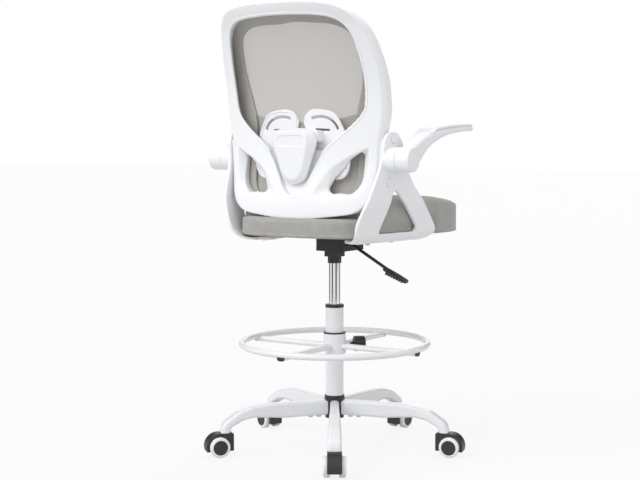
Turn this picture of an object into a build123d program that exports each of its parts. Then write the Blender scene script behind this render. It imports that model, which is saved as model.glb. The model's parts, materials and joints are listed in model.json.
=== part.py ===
from build123d import *
import os
from math import atan2, cos, degrees, hypot, radians, sin

# A drafting chair with a mesh back, flip-up arms, a foot ring and a five-leg base on twin-wheel casters.
# Millimetres. +Z is up, the sitter faces -Y, and the origin is on the floor under the column's axis.

# Fits between pieces
FIT = 0.05          # radial clearance of a running fit
SEAT_GAP = 0.3      # clear space between neighbours that only touch
FACE_GAP = 0.1      # clear space between faces that bear on each other

# Base and legs
LEG_COUNT = 5
BASE_TURN = 122.4   # angle of the first leg about +Z, from +X
HUB_R = 23.5
HUB_COLLAR_R = 25.7
HUB_LIP_R = 24.6
HUB_BOTTOM = 78.0
HUB_COLLAR_Z = 121.0
HUB_TOP = 135.0
LEG_WALL = 2.0
LEG_CORNER = 8.0
# each station: radius, height of the centre, downward tilt, depth across, width
LEG_STATIONS = [
    (20.0, 104.5, 0, 39.0, 22.0),
    (80.0, 104.5, 0, 39.0, 22.0),
    (130.0, 104.0, 0, 39.5, 23.5),
    (175.0, 105.6, 3, 34.5, 26.0),
    (213.0, 104.2, 13, 28.0, 29.0),
    (243.5, 96.5, 32, 25.0, 31.5),
    (266.5, 83.0, 53, 23.6, 33.0),
    (280.0, 69.5, 74, 22.8, 34.0),
]
LEG_STEP = 17.0
LEG_HOLLOW_STATIONS = 5   # how many stations the hollow runs through
LEG_END_Z = 58.3
LEG_END_DEPTH = 22.6
SPIGOT_LENGTH = 52.0
BOLT_R = 3.0
BOLT_HEAD_R = 5.5
BOLT_HEAD_H = 4.0
LEG_BOLT_RADII = (42.0, 63.0)
LEG_BOLT_LENGTH = 16.0
LEG_BOLT_SEAT_Z = 85.4

# Casters
STEM_RADIUS_FROM_AXIS = 283.0
STEM_R = 5.0
STEM_TOP = 75.0
CASTER_TRAIL = 16.0
WHEEL_R = 25.0
WHEEL_DISC_R = 18.0
WHEEL_WIDTH = 17.0
WEB_HALF = 9.5
WHEEL_GAP = 0.6
AXLE_R = 4.0
AXLE_END_WALL = 2.5
HOOD_CORNER = 4.0
HOOD_HALF = 17.2
HOOD_GAP = 1.2
HOOD_TOP = 57.8
HOOD_BACK = -19.5
HOOD_BOTTOM = 14.0
HOOD_ROUND = 1.6

# Column and gas lift
COLUMN_R = 22.5
COLUMN_WALL = 1.5
COLUMN_FOOT_R = 20.5
COLUMN_BOTTOM = 80.0
COLUMN_FLOOR = 4.0
COLUMN_TOP = 355.7
BUSH_FLANGE = 7.3
BUSH_FLANGE_R = 23.2
BUSH_DEPTH = 60.0
CYLINDER_R = 14.0
CYLINDER_WALL = 2.0
CYLINDER_BOTTOM = 195.0
CYLINDER_CAP = 8.0
TAPER_BOTTOM = 466.5
TAPER_TOP = 505.0
TAPER_TOP_R = 13.0
VALVE_BLOCK = 40.0
ROD_R = 5.0
PISTON_Z = 304.6
PISTON_H = 8.0
BEARING_H = 6.0
BEARING_R = 14.0
CLIP_R = 9.0
CLIP_H = 1.5
PIN_R = 4.0
PIN_LENGTH = 24.0
PIN_TRAVEL = 4.0

# Foot ring
RING_R = 232.0
RING_TUBE_R = 8.0
RING_Z = 266.0
SPOKE_W = 20.0
SPOKE_H = 13.5
SPOKE_Z = 258.7
SPOKE_END = 238.0
SPOKE_CAP = 3.0
SLEEVE_R = 28.0
SLEEVE_BOTTOM = 241.0
SLEEVE_TOP = 290.0
SLEEVE_EDGE = 1.2
LINER_WALL = 2.4
LINER_R = COLUMN_R + FIT + LINER_WALL
LINER_FLANGE = 3.5
KNOB_TURN = 225.0   # the lock knob's direction about +Z
KNOB_R = 19.0
KNOB_LENGTH = 27.0
KNOB_START = 50.0
KNOB_Z = 262.0
KNOB_EDGE = 4.0
KNOB_FLUTES = 8
FLUTE_R = 3.0
STUD_R = 4.0
BOSS_R = 8.0
BOSS_END = 38.0

# Seat mechanism
TRAY_HALF_X = 40.0
TRAY_FRONT = -78.0
TRAY_BACK = 28.0
TRAY_BOTTOM = 497.0
TRAY_WALL = 2.5
FLANGE_HALF_X = 95.0
FLANGE_HALF_Y = 90.0
FLANGE_Y = -25.0
FLANGE_T = 4.0
SOCKET_BOX_HALF = 20.0
SOCKET_BOX_BOTTOM = 483.0
SOCKET_R = 17.0
SOCKET_BOTTOM = 466.5
LEVER_Z = 516.0
LEVER_R = 4.0
LEVER_INNER = 7.0
LEVER_BEND = 48.0
LEVER_END = (184.0, 440.0)
LEVER_HOLE_R = 5.2
HANDLE_START = (143.0, 459.5)
HANDLE_END = (206.0, 430.0)
HANDLE_W = 19.0
HANDLE_T = 11.0

# Seat
SEAT_BOTTOM = 541.0
SEAT_TOP = 634.0
SEAT_OUTLINE = [(0, -258), (130, -256), (194, -250), (228, -224), (238, -180), (229, -70), (214, 30),
                (190, 130), (140, 190), (65, 210), (0, 213)]
# side profile of the seat: y and height of its top
SEAT_TOP_LINE = [(-300, 600), (-258, 606), (-208, 615), (-151, 625), (-70, 631), (20, 634), (127, 634),
                 (170, 632), (300, 628)]
BOARD_SHRINK = 0.8
BOARD_T = 12.0
BOARD_Y = -2.0
SEAT_ROUND_TOP = 28.0
SEAT_ROUND_BOTTOM = 10.0
BRACKET_OUTSIDE = 40.0

# Arm brackets: an A-shaped plate that toes out to the front, flares to the top and turns in under the seat
BRACKET_OFFSET = 192.0    # outer face at y = 0, z = 0
TOE = 0.157               # growth of the outer face's x towards the front
FLARE = 0.0714            # growth of the outer face's x with height
BRACKET_T = 8.0
BRACKET_BEND_Z = 628.0
BRACKET_BEND_IN = 29.5
BRACKET_BEND_R = 120.0
BRACKET_FOOT_ROUND = 45.0
BRACKET_FOOT_X = 125.0
BRACKET_FOOT_YS = (-62.0, 125.0)
BRACKET_BOTTOM = 526.5
BRACKET_OUTLINE = [(115, 790), (130, 783), (137, 768), (140, 738), (150, 700), (168, 660), (184, 622),
                   (191, 598), (193, 574), (185, 550), (164, 532), (130, 526.5), (50, 525.5), (-60, 526),
                   (-96, 532), (-109, 548), (-97, 565), (-47, 607), (-16, 633), (13, 659), (38, 690),
                   (57, 730), (75, 768), (92, 786)]
HOLE_APEX = (93, 661)
HOLE_REAR = (112, 551)
HOLE_FRONT = (-44, 551)
HOLE_CORNER = 9.0
BRACKET_BOLT_HEIGHTS = (774.0, 671.0)
BRACKET_BOLT_Y = (105.0, 112.0)
CAP_R = 10.0
CAP_T = 2.0
CAP_SINK = 1.2
FOOT_BOLT_YS = (-20.0, 90.0)
FOOT_BOLT_X = 150.0

# Back: rear surface is y = profile(z) - BACK_CURVE * x * x
BACK_CURVE = 0.00087
BACK_PROFILE = [(575, 190), (600, 190), (650, 186), (700, 178), (750, 176), (800, 178.5), (850, 182.5),
                (900, 190), (950, 204), (1000, 222), (1040, 240), (1100, 272)]
BACK_HALF = 245.0
RAIL_DEPTH = 31.0
WEB_FRONT = 29.0          # how far the flat front of the web lies before the rear surface on the centre line
BACK_OUTLINE = [(0, 1086), (66, 1085.5), (125, 1080), (164, 1067), (190, 1041), (204, 1008), (212, 972),
                (217, 936), (218.5, 900), (218, 865), (216.5, 830), (212, 795), (205, 755), (204, 705),
                (200, 670), (187, 625), (163, 604), (120, 594), (66, 588), (0, 585)]
# how far the side walls flare out from the rear surface to the edge's depth, by height
BACK_FLARE = [(590, 0), (640, 4), (700, 6), (760, 8), (795, 7), (815, 9), (850, 9), (900, 8), (960, 7),
              (1040, 7), (1090, 5)]
BACK_EDGE_DEPTH = 12.0
OPENING_OUTLINE = [(0, 1057.5), (60, 1056), (108, 1052.5), (138, 1045), (157, 1031), (168, 1012), (175, 985),
                   (180, 950), (182, 905), (180, 865), (174, 838), (158, 817), (114, 780), (76, 750)]
# the same edge on the front of the rail, where the opening is wider
OPENING_FRONT = [(0, 1065), (62, 1063.5), (112, 1060), (146, 1052), (169, 1037), (184, 1015), (193, 986),
                 (199, 950), (201, 905), (199, 864), (191, 832), (170, 808), (120, 773), (80, 745)]
RECESS_OUTLINE = [(79, 760), (62, 722), (45, 690), (31, 662), (17, 645), (0, 641)]
RECESS_DEPTH = 14.0
INNER_OUTLINE = [(0, 850), (130, 835), (158, 800), (166, 740), (160, 660), (110, 632), (0, 626)]
LOWER_HOLE = [(188, 750), (188, 718), (184, 679), (171, 648), (120, 638), (68, 634), (60, 643), (70, 670),
              (88, 697), (111, 716), (146, 736), (172, 747)]
LOWER_HOLE_FRONT = [(160, 730), (158.5, 712), (155, 686), (143, 660), (118, 651), (93, 648), (88, 653),
                    (93, 667), (103, 683), (116, 698), (136, 716), (152, 728)]
HOLE_DEPTH = 16.0
FLARE_PLANES = (290, 80)
OPENING_PLANES = (262, 90)
HOLE_PLANES = (195, 165, 150, 135, 120, 60)
EAR_T = 12.0
EAR_OUTLINE = [(137, 648), (110, 646), (100, 660), (97, 700), (97, 752), (100, 771), (108, 781), (122, 781),
               (133, 768)]

# Mesh frame and panel
MESH_FRAME_T = 8.0
MESH_SET_BACK = 6.0       # from the rear of the mesh frame to the rear of the mesh
MESH_T = 1.6
MESH_OUTLINE = [(0, 1081), (66, 1080), (128, 1074), (168, 1060), (192, 1036), (206, 1002), (213, 960),
                (215, 915), (211, 860), (203, 800), (194, 735), (188, 680), (180, 640), (158, 616),
                (120, 606), (66, 602), (0, 600)]
MESH_INNER = [(0, 1043), (70, 1041), (125, 1033), (151, 1016), (162, 984), (166, 945), (162, 906),
              (154, 872), (145, 838), (142, 790), (145, 740), (145, 690), (134, 652), (95, 636), (0, 630)]

# Spine cover and lumbar support
COVER_BASE_Y = 173.0
COVER_EDGE_Y = 180.0
COVER_OUTLINE = [(0, 799.5), (36, 798), (54, 790), (61, 768), (52, 736), (40, 702), (30, 681), (15, 670),
                 (0, 667)]
COVER_FACE = [(0, 791), (28, 790), (41, 784), (46.5, 769), (40, 740), (30, 708), (20, 689), (10, 680),
              (0, 678)]
COVER_FACE_TOP_Y = 198.0
COVER_FACE_BOTTOM_Y = 190.0
COVER_ROUND = 3.0
PILL_Z = 769.0
PILL_HALF = 39.0
PILL_R = 13.0
PILL_DEPTH = 1.5
LUMBAR_REAR = 146.2
LUMBAR_BEND_Z = 790.0
LUMBAR_LEAN = 0.11
LUMBAR_T = 4.5
LUMBAR_UPPER = [(12, 798), (12, 829), (24, 840), (62, 843), (96, 833), (114, 806), (122, 780), (98, 764),
                (60, 760), (20, 764)]
LUMBAR_LOWER = [(12, 770), (60, 768), (110, 766), (130, 744), (134, 712), (120, 684), (84, 680), (52, 700),
                (28, 716), (12, 726)]
LUMBAR_SLOT = [(30, 822), (62, 826), (88, 816), (102, 796)]
LUMBAR_SLOT_R = 3.2
LUMBAR_CENTRE = (20, 716, 790)    # half width, bottom and top of the bridge between the lobes
CARRIAGE_HALF = 62.0
CARRIAGE_BOTTOM = 767.0
CARRIAGE_TOP = 795.0

# Arms
PIVOT_Y = 112.0
PIVOT_Z = 726.0
HUB_SEAM = 249.5
HUB_OUTER = 287.0
HUB_R_ARM = 29.0
HUB_EDGE = 4.5
PIVOT_R = 6.0
# each station: y, z, rise angle, thickness, inner x, outer x
ARM_STATIONS = [
    (104, 733, 52, 52, 249.6, 287),
    (86, 743, 38, 46, 249.6, 287),
    (58, 759.5, 28, 37, 244, 287),
    (24, 773, 18, 29, 238, 287),
    (-12, 782.8, 12.5, 24, 237, 287),
    (-50, 790, 8, 18.5, 237, 287),
    (-98, 795.3, 4.5, 14.5, 237, 287),
    (-146, 798.3, 2, 12, 238, 287),
    (-184, 799, 0, 11, 240, 286),
    (-203, 799, 0, 6, 248, 278),
]
PAD_FIRST_STATION = 3
PAD_T = 6.0
PAD_INSET = 2.0


# ---------------------------------------------------------------- helpers

def mirrored(points):
    """A closed outline from the points of its +X half, first and last on the centre line."""
    return list(points) + [(-x, z) for x, z in reversed(points) if x > 0]


def smooth_face(points, plane=Plane.XY):
    """A face inside one closed smooth curve through the points."""
    return plane * make_face(Spline(*points, periodic=True))


def tube(outer_r, inner_r, bottom, top):
    outer = Pos(0, 0, bottom) * Cylinder(outer_r, top - bottom, align=(Align.CENTER, Align.CENTER, Align.MIN))
    bore = Pos(0, 0, bottom - 1) * Cylinder(inner_r, top - bottom + 2,
                                            align=(Align.CENTER, Align.CENTER, Align.MIN))
    return outer - bore


def rod(radius, bottom, top):
    return Pos(0, 0, bottom) * Cylinder(radius, top - bottom, align=(Align.CENTER, Align.CENTER, Align.MIN))


def cone(bottom_r, top_r, bottom, top):
    return Pos(0, 0, bottom) * Cone(bottom_r, top_r, top - bottom,
                                    align=(Align.CENTER, Align.CENTER, Align.MIN))


def block(x0, x1, y0, y1, z0, z1):
    return Pos((x0 + x1) / 2, (y0 + y1) / 2, (z0 + z1) / 2) * Box(x1 - x0, y1 - y0, z1 - z0)


def along_x(radius, x0, x1, y, z):
    return Pos((x0 + x1) / 2, y, z) * Rot(0, 90, 0) * Cylinder(radius, abs(x1 - x0))


def between(table, value):
    """Linear reading of a list of (key, number) pairs sorted by key."""
    for (k0, v0), (k1, v1) in zip(table, table[1:]):
        if value <= k1:
            return v0 + (v1 - v0) * (value - k0) / (k1 - k0)
    return table[-1][1]


def save(name, *pieces):
    solids = [s for piece in pieces for s in piece.solids()]
    shape = solids[0] if len(solids) == 1 else Compound(children=solids)
    shape.label = name
    export_step(shape, os.path.join("parts", name + ".step"))


# ---------------------------------------------------------------- base

def evenly(stations, step):
    """The stations with others between them, so that neighbours lie about one step apart."""
    result = [stations[0]]
    for a, b in zip(stations, stations[1:]):
        count = max(1, round(hypot(b[0] - a[0], b[1] - a[1]) / step))
        for k in range(1, count + 1):
            result.append(tuple(p + (q - p) * k / count for p, q in zip(a, b)))
    return result


def leg_section(station, inset):
    r, z, tilt, depth, width = station
    plane = Plane(origin=(r, 0, z), x_dir=(0, 1, 0), z_dir=(cos(radians(tilt)), 0, -sin(radians(tilt))))
    corner = LEG_CORNER - inset
    return plane * RectangleRounded(width - 2 * inset, depth - 2 * inset, corner)


def leg():
    """One leg along +X: a hollow pressed tube that turns down to its caster."""
    end = (STEM_RADIUS_FROM_AXIS, LEG_END_Z, 90, LEG_END_DEPTH, LEG_STATIONS[-1][4])
    outer = loft([leg_section(s, 0) for s in evenly(LEG_STATIONS + [end], LEG_STEP)])
    hollow = loft([leg_section(s, LEG_WALL) for s in evenly(LEG_STATIONS[:LEG_HOLLOW_STATIONS], LEG_STEP)])
    body = outer - hollow - rod(HUB_R + FIT, 0, HUB_TOP) - rod(HUB_COLLAR_R + FIT, HUB_COLLAR_Z - FIT, HUB_TOP)
    body -= Pos(STEM_RADIUS_FROM_AXIS, 0, 0) * rod(STEM_R + FIT, 0, STEM_TOP + 0.5)
    for r in LEG_BOLT_RADII:
        body -= Pos(r, 0, 0) * rod(BOLT_R + FIT, LEG_BOLT_SEAT_Z - 5, LEG_BOLT_SEAT_Z + 5)
        body -= Pos(r, 0, 0) * rod(BOLT_HEAD_R + SEAT_GAP, LEG_BOLT_SEAT_Z - 5, LEG_BOLT_SEAT_Z)
    return body


def base_hub():
    """The black hub: a tapered socket with a collar and a spigot inside each leg."""
    body = rod(HUB_R, HUB_BOTTOM, HUB_COLLAR_Z) + cone(HUB_COLLAR_R, HUB_LIP_R, HUB_COLLAR_Z, HUB_TOP)
    inner = LEG_WALL + SEAT_GAP
    depth, width = LEG_STATIONS[0][3], LEG_STATIONS[0][4]
    spigot = block(HUB_R - 3, HUB_R + SPIGOT_LENGTH, -width / 2 + inner, width / 2 - inner,
                   LEG_STATIONS[0][1] - depth / 2 + inner, LEG_STATIONS[0][1] + depth / 2 - inner)
    spigot = fillet(spigot.edges().filter_by(Axis.X), LEG_CORNER - inner)
    for r in LEG_BOLT_RADII:
        spigot -= Pos(r, 0, 0) * rod(BOLT_R + FIT, 0, LEG_BOLT_SEAT_Z + LEG_BOLT_LENGTH + 1)
    for k in range(LEG_COUNT):
        body += Rot(0, 0, BASE_TURN + k * 360 / LEG_COUNT) * spigot
    taper = cone(COLUMN_FOOT_R + FIT, COLUMN_R + FIT, COLUMN_BOTTOM, HUB_TOP)
    return body - taper - rod(COLUMN_FOOT_R - 3, 0, COLUMN_BOTTOM + 1)


def hub_bolts():
    bolt = rod(BOLT_HEAD_R, LEG_BOLT_SEAT_Z - BOLT_HEAD_H, LEG_BOLT_SEAT_Z)
    bolt += rod(BOLT_R, LEG_BOLT_SEAT_Z, LEG_BOLT_SEAT_Z + LEG_BOLT_LENGTH)
    bolt -= Pos(0, 0, LEG_BOLT_SEAT_Z - BOLT_HEAD_H) * extrude(RegularPolygon(BOLT_R * 0.75, 6), 2.4)
    bolts = []
    for k in range(LEG_COUNT):
        for r in LEG_BOLT_RADII:
            bolts.append(Rot(0, 0, BASE_TURN + k * 360 / LEG_COUNT) * Pos(r, 0, 0) * bolt)
    return bolts


# ---------------------------------------------------------------- casters, built about the stem's axis

def hood_profile():
    """Side outline of the hood: a round fender with a flat back, open at the bottom."""
    radius = HOOD_TOP - WHEEL_R
    low = degrees(atan2(HOOD_BOTTOM - WHEEL_R, (radius ** 2 - (HOOD_BOTTOM - WHEEL_R) ** 2) ** 0.5))
    fender = CenterArc((CASTER_TRAIL, WHEEL_R), radius, 90, low - 90)
    sides = Polyline(fender @ 1, (HOOD_BACK, HOOD_BOTTOM), (HOOD_BACK, HOOD_TOP), fender @ 0)
    face = make_face([fender, *sides.edges()])
    return fillet(face.vertices().sort_by(Axis.X)[:2].sort_by(Axis.Y)[-1:], HOOD_CORNER)


def caster_hood():
    body = extrude(Plane.XZ * hood_profile(), HOOD_HALF, both=True)
    body = fillet(body.faces().sort_by(Axis.Y)[-1].edges(), HOOD_ROUND)
    body = fillet(body.faces().sort_by(Axis.Y)[0].edges(), HOOD_ROUND)
    wheel_room = Pos(CASTER_TRAIL, 0, WHEEL_R) * Rot(90, 0, 0) * Cylinder(WHEEL_R + HOOD_GAP, HOOD_HALF)
    for side in (-1, 1):
        body -= Pos(0, side * (WEB_HALF + HOOD_HALF / 2), 0) * wheel_room
    body -= Pos(CASTER_TRAIL, 0, WHEEL_R) * Rot(90, 0, 0) * Cylinder(AXLE_R, HOOD_HALF * 2)
    return body - rod(STEM_R, HOOD_TOP - 30, HOOD_TOP + 1)


def caster_pins():
    """The steel stem and axle that are pressed into the hood."""
    half = WEB_HALF + WHEEL_GAP + WHEEL_WIDTH - AXLE_END_WALL - 0.5
    stem = rod(STEM_R, HOOD_TOP - 30, STEM_TOP)
    stem = chamfer(stem.faces().sort_by(Axis.Z)[-1].edges(), 1.0)
    axle = Pos(CASTER_TRAIL, 0, WHEEL_R) * Rot(90, 0, 0) * Cylinder(AXLE_R, 2 * half)
    return stem, axle


def caster_wheel(side):
    """A tyre and its disc on one side of the hood."""
    inner = WEB_HALF + WHEEL_GAP
    outer = inner + WHEEL_WIDTH
    tyre = Cylinder(WHEEL_R, WHEEL_WIDTH)
    tyre = fillet(tyre.faces().sort_by(Axis.Z)[-1].edges(), 5.0)
    tyre = fillet(tyre.faces().sort_by(Axis.Z)[0].edges(), 2.5)
    tyre -= Cylinder(WHEEL_DISC_R, WHEEL_WIDTH + 2)
    disc = Cylinder(WHEEL_DISC_R, WHEEL_WIDTH - 1.0)
    disc = chamfer(disc.faces().sort_by(Axis.Z)[-1].edges(), 0.8)
    disc -= Pos(0, 0, -AXLE_END_WALL) * Cylinder(AXLE_R + FIT, WHEEL_WIDTH)
    place = Pos(CASTER_TRAIL, side * (inner + outer) / 2, WHEEL_R) * Rot(-90 * side, 0, 0)
    return place * tyre, place * disc


# ---------------------------------------------------------------- column and gas lift

def column_tube():
    body = cone(COLUMN_FOOT_R, COLUMN_R, COLUMN_BOTTOM, HUB_TOP) + rod(COLUMN_R, HUB_TOP, COLUMN_TOP)
    bore = cone(COLUMN_FOOT_R - COLUMN_WALL, COLUMN_R - COLUMN_WALL, COLUMN_BOTTOM, HUB_TOP)
    bore += rod(COLUMN_R - COLUMN_WALL, HUB_TOP, COLUMN_TOP + 1)
    bore -= rod(COLUMN_R, COLUMN_BOTTOM - 1, COLUMN_BOTTOM + COLUMN_FLOOR)
    return body - bore - rod(ROD_R + FIT, COLUMN_BOTTOM - 1, COLUMN_BOTTOM + COLUMN_FLOOR + 1)


def column_bush():
    body = rod(BUSH_FLANGE_R, COLUMN_TOP, COLUMN_TOP + BUSH_FLANGE)
    body = fillet(body.faces().sort_by(Axis.Z)[-1].edges(), 1.5)
    body += rod(COLUMN_R - COLUMN_WALL - FIT, COLUMN_TOP - BUSH_DEPTH, COLUMN_TOP)
    return body - rod(CYLINDER_R + FIT, COLUMN_TOP - BUSH_DEPTH - 1, COLUMN_TOP + BUSH_FLANGE + 1)


def thrust_bearing():
    """Two races with a ring of balls, on the floor of the column."""
    floor = COLUMN_BOTTOM + COLUMN_FLOOR
    race = 1.4
    ball_r = (BEARING_H - 2 * race) / 2
    mid = (BEARING_R + ROD_R) / 2
    pieces = [tube(BEARING_R, ROD_R + FIT, floor, floor + race),
              tube(BEARING_R, ROD_R + FIT, floor + BEARING_H - race, floor + BEARING_H)]
    count = 9
    for k in range(count):
        pieces.append(Rot(0, 0, k * 360 / count) * Pos(mid, 0, floor + BEARING_H / 2) * Sphere(ball_r - 0.01))
    return pieces


def piston_rod():
    """The rod with its collar on the bearing and its piston, and the clip that holds it under the column."""
    collar_z = COLUMN_BOTTOM + COLUMN_FLOOR + BEARING_H + FACE_GAP
    clip_top = COLUMN_BOTTOM - FACE_GAP
    body = rod(ROD_R, clip_top - 4, PISTON_Z + PISTON_H)
    body += rod(ROD_R + 4, collar_z, collar_z + 4)
    body += rod(CYLINDER_R - CYLINDER_WALL - FIT, PISTON_Z, PISTON_Z + PISTON_H)
    body -= tube(ROD_R + 1, ROD_R - 0.8, clip_top - CLIP_H, clip_top)
    clip = tube(CLIP_R, ROD_R - 0.75, clip_top - CLIP_H + 0.02, clip_top - 0.02)
    clip -= block(-0.5 * ROD_R, 0.5 * ROD_R, 0, CLIP_R + 1, clip_top - CLIP_H - 1, clip_top + 1)
    return body, clip


def gas_cylinder():
    body = rod(CYLINDER_R, CYLINDER_BOTTOM, TAPER_BOTTOM)
    body += cone(CYLINDER_R, TAPER_TOP_R, TAPER_BOTTOM, TAPER_TOP)
    chamber = rod(CYLINDER_R - CYLINDER_WALL, CYLINDER_BOTTOM + CYLINDER_CAP, TAPER_TOP - VALVE_BLOCK)
    body -= chamber + rod(ROD_R + FIT, CYLINDER_BOTTOM - 1, CYLINDER_BOTTOM + CYLINDER_CAP + 1)
    pin_top = LEVER_Z - LEVER_R - SEAT_GAP
    return body - rod(PIN_R + FIT, pin_top - PIN_LENGTH - PIN_TRAVEL - 1, TAPER_TOP + 1)


def release_pin():
    pin_top = LEVER_Z - LEVER_R - SEAT_GAP
    return rod(PIN_R, pin_top - PIN_LENGTH, pin_top)


# ---------------------------------------------------------------- foot ring

def ring_hoop():
    return Pos(0, 0, RING_Z) * Torus(RING_R, RING_TUBE_R)


def spoke_profile(inset):
    return RectangleRounded(SPOKE_W - 2 * inset, SPOKE_H - 2 * inset, SPOKE_H / 2 - inset - 0.5)


def spokes():
    start = SLEEVE_R - 2
    plane = Plane(origin=(start, 0, SPOKE_Z), x_dir=(0, 1, 0), z_dir=(1, 0, 0))
    one = extrude(plane * spoke_profile(0), SPOKE_END - SPOKE_CAP - start)
    one -= extrude(plane * spoke_profile(1.6), SPOKE_END - start)
    one -= rod(SLEEVE_R + FIT, 0, RING_Z * 2)
    one -= Pos(0, 0, RING_Z) * Torus(RING_R, RING_TUBE_R + FIT)
    pieces = []
    for k in range(4):
        pieces += (Rot(0, 0, 90 * k) * one).solids().sort_by(SortBy.VOLUME)[-1:]
    return pieces


def spoke_caps():
    plane = Plane(origin=(SPOKE_END - SPOKE_CAP, 0, SPOKE_Z), x_dir=(0, 1, 0), z_dir=(1, 0, 0))
    one = extrude(plane * spoke_profile(-0.4), SPOKE_CAP)
    one += extrude(plane * spoke_profile(1.6 + SEAT_GAP), -10)
    one -= Pos(0, 0, RING_Z) * Torus(RING_R, RING_TUBE_R + FIT)
    one = one.solids().sort_by(Axis.Z)[0]
    return [Rot(0, 0, 90 * k) * one for k in range(4)]


def knob_axis(piece):
    """Puts a piece built along +X at z = 0 onto the lock knob's axis."""
    return Pos(0, 0, KNOB_Z) * Rot(0, 0, KNOB_TURN) * piece


def ring_sleeve():
    """The sleeve round the liner, with a boss for the lock knob's stud."""
    body = rod(SLEEVE_R, SLEEVE_BOTTOM, SLEEVE_TOP)
    body = fillet(body.faces().sort_by(Axis.Z)[-1].edges(), SLEEVE_EDGE)
    body += knob_axis(along_x(BOSS_R, SLEEVE_R - 2, BOSS_END, 0, 0))
    body -= rod(LINER_R + FIT, SLEEVE_BOTTOM - 1, SLEEVE_TOP + 1)
    return body - knob_axis(along_x(STUD_R + FIT, 0, BOSS_END + 1, 0, 0))


def ring_liner():
    """The plastic liner: it slides on the column, and its flange lies on the sleeve."""
    body = rod(LINER_R, SLEEVE_BOTTOM, SLEEVE_TOP + LINER_FLANGE)
    body += rod(SLEEVE_R - SEAT_GAP, SLEEVE_TOP + FIT, SLEEVE_TOP + LINER_FLANGE)
    return body - rod(COLUMN_R + FIT, SLEEVE_BOTTOM - 1, SLEEVE_TOP + LINER_FLANGE + 1)


def ring_knob():
    """The fluted lock knob, with the stud that clamps the liner to the column."""
    knob = along_x(KNOB_R, KNOB_START, KNOB_START + KNOB_LENGTH, 0, 0)
    knob = fillet(knob.faces().sort_by(Axis.X)[-1].edges(), KNOB_EDGE)
    knob = fillet(knob.faces().sort_by(Axis.X)[0].edges(), KNOB_EDGE / 2)
    for k in range(KNOB_FLUTES):
        flute = along_x(FLUTE_R, 0, KNOB_START + KNOB_LENGTH + 1, 0, KNOB_R + FLUTE_R * 0.4)
        knob -= Rot(k * 360 / KNOB_FLUTES, 0, 0) * flute
    stud = along_x(STUD_R, LINER_R + SEAT_GAP, KNOB_START + 2, 0, 0)
    return knob_axis(knob + stud)


# ---------------------------------------------------------------- seat mechanism

def seat_plate():
    """The pressed steel tray under the seat with its bolting flange."""
    top = SEAT_BOTTOM - FACE_GAP
    flange = block(-FLANGE_HALF_X, FLANGE_HALF_X, FLANGE_Y - FLANGE_HALF_Y, FLANGE_Y + FLANGE_HALF_Y,
                   top - FLANGE_T, top)
    flange = fillet(flange.edges().filter_by(Axis.Z), 12)
    tray = block(-TRAY_HALF_X, TRAY_HALF_X, TRAY_FRONT, TRAY_BACK, TRAY_BOTTOM, top - FLANGE_T / 2)
    tray = fillet(tray.edges().filter_by(Axis.Z), 8)
    room = block(-TRAY_HALF_X + TRAY_WALL, TRAY_HALF_X - TRAY_WALL, TRAY_FRONT + TRAY_WALL,
                 TRAY_BACK - TRAY_WALL, TRAY_BOTTOM + TRAY_WALL, top + 1)
    room = fillet(room.edges().filter_by(Axis.Z), 8 - TRAY_WALL)
    body = flange + tray - room - rod(SOCKET_R + FIT, TRAY_BOTTOM - 1, TRAY_BOTTOM + TRAY_WALL + 1)
    body -= along_x(LEVER_HOLE_R, -TRAY_HALF_X - 2, -TRAY_HALF_X + TRAY_WALL + 1, 0, LEVER_Z)
    for x, y in plate_bolt_places():
        body -= Pos(x, y, 0) * rod(BOLT_R + FIT, top - FLANGE_T - 1, top + 1)
    return body


def plate_bolt_places():
    inset = 15
    xs = (-FLANGE_HALF_X + inset, FLANGE_HALF_X - inset)
    ys = (FLANGE_Y - FLANGE_HALF_Y + inset, FLANGE_Y + FLANGE_HALF_Y - inset)
    return [(x, y) for x in xs for y in ys]


def taper_socket():
    body = rod(SOCKET_R, SOCKET_BOTTOM, TAPER_TOP - 2)
    box = block(-SOCKET_BOX_HALF, SOCKET_BOX_HALF, -SOCKET_BOX_HALF, SOCKET_BOX_HALF, SOCKET_BOX_BOTTOM,
                TRAY_BOTTOM - FIT)
    body += fillet(box.edges().filter_by(Axis.Z), 6)
    drop = (CYLINDER_R - TAPER_TOP_R) / (TAPER_TOP - TAPER_BOTTOM)
    bottom_r = CYLINDER_R + FIT
    return body - cone(bottom_r, bottom_r - drop * (TAPER_TOP - TAPER_BOTTOM), TAPER_BOTTOM, TAPER_TOP)


def lever_direction():
    dx, dz = LEVER_END[0] - LEVER_BEND, LEVER_END[1] - LEVER_Z
    return dx / hypot(dx, dz), dz / hypot(dx, dz)


def lever_rod():
    """The bent rod: its inner end presses the release pin, and the outer run slopes to the handle."""
    path = FilletPolyline((LEVER_INNER, 0, LEVER_Z), (-LEVER_BEND, 0, LEVER_Z),
                          (-LEVER_END[0], 0, LEVER_END[1]), radius=12)
    profile = Plane(origin=(LEVER_INNER, 0, LEVER_Z), z_dir=(-1, 0, 0)) * Circle(LEVER_R)
    return sweep(profile, path=path)


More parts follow.
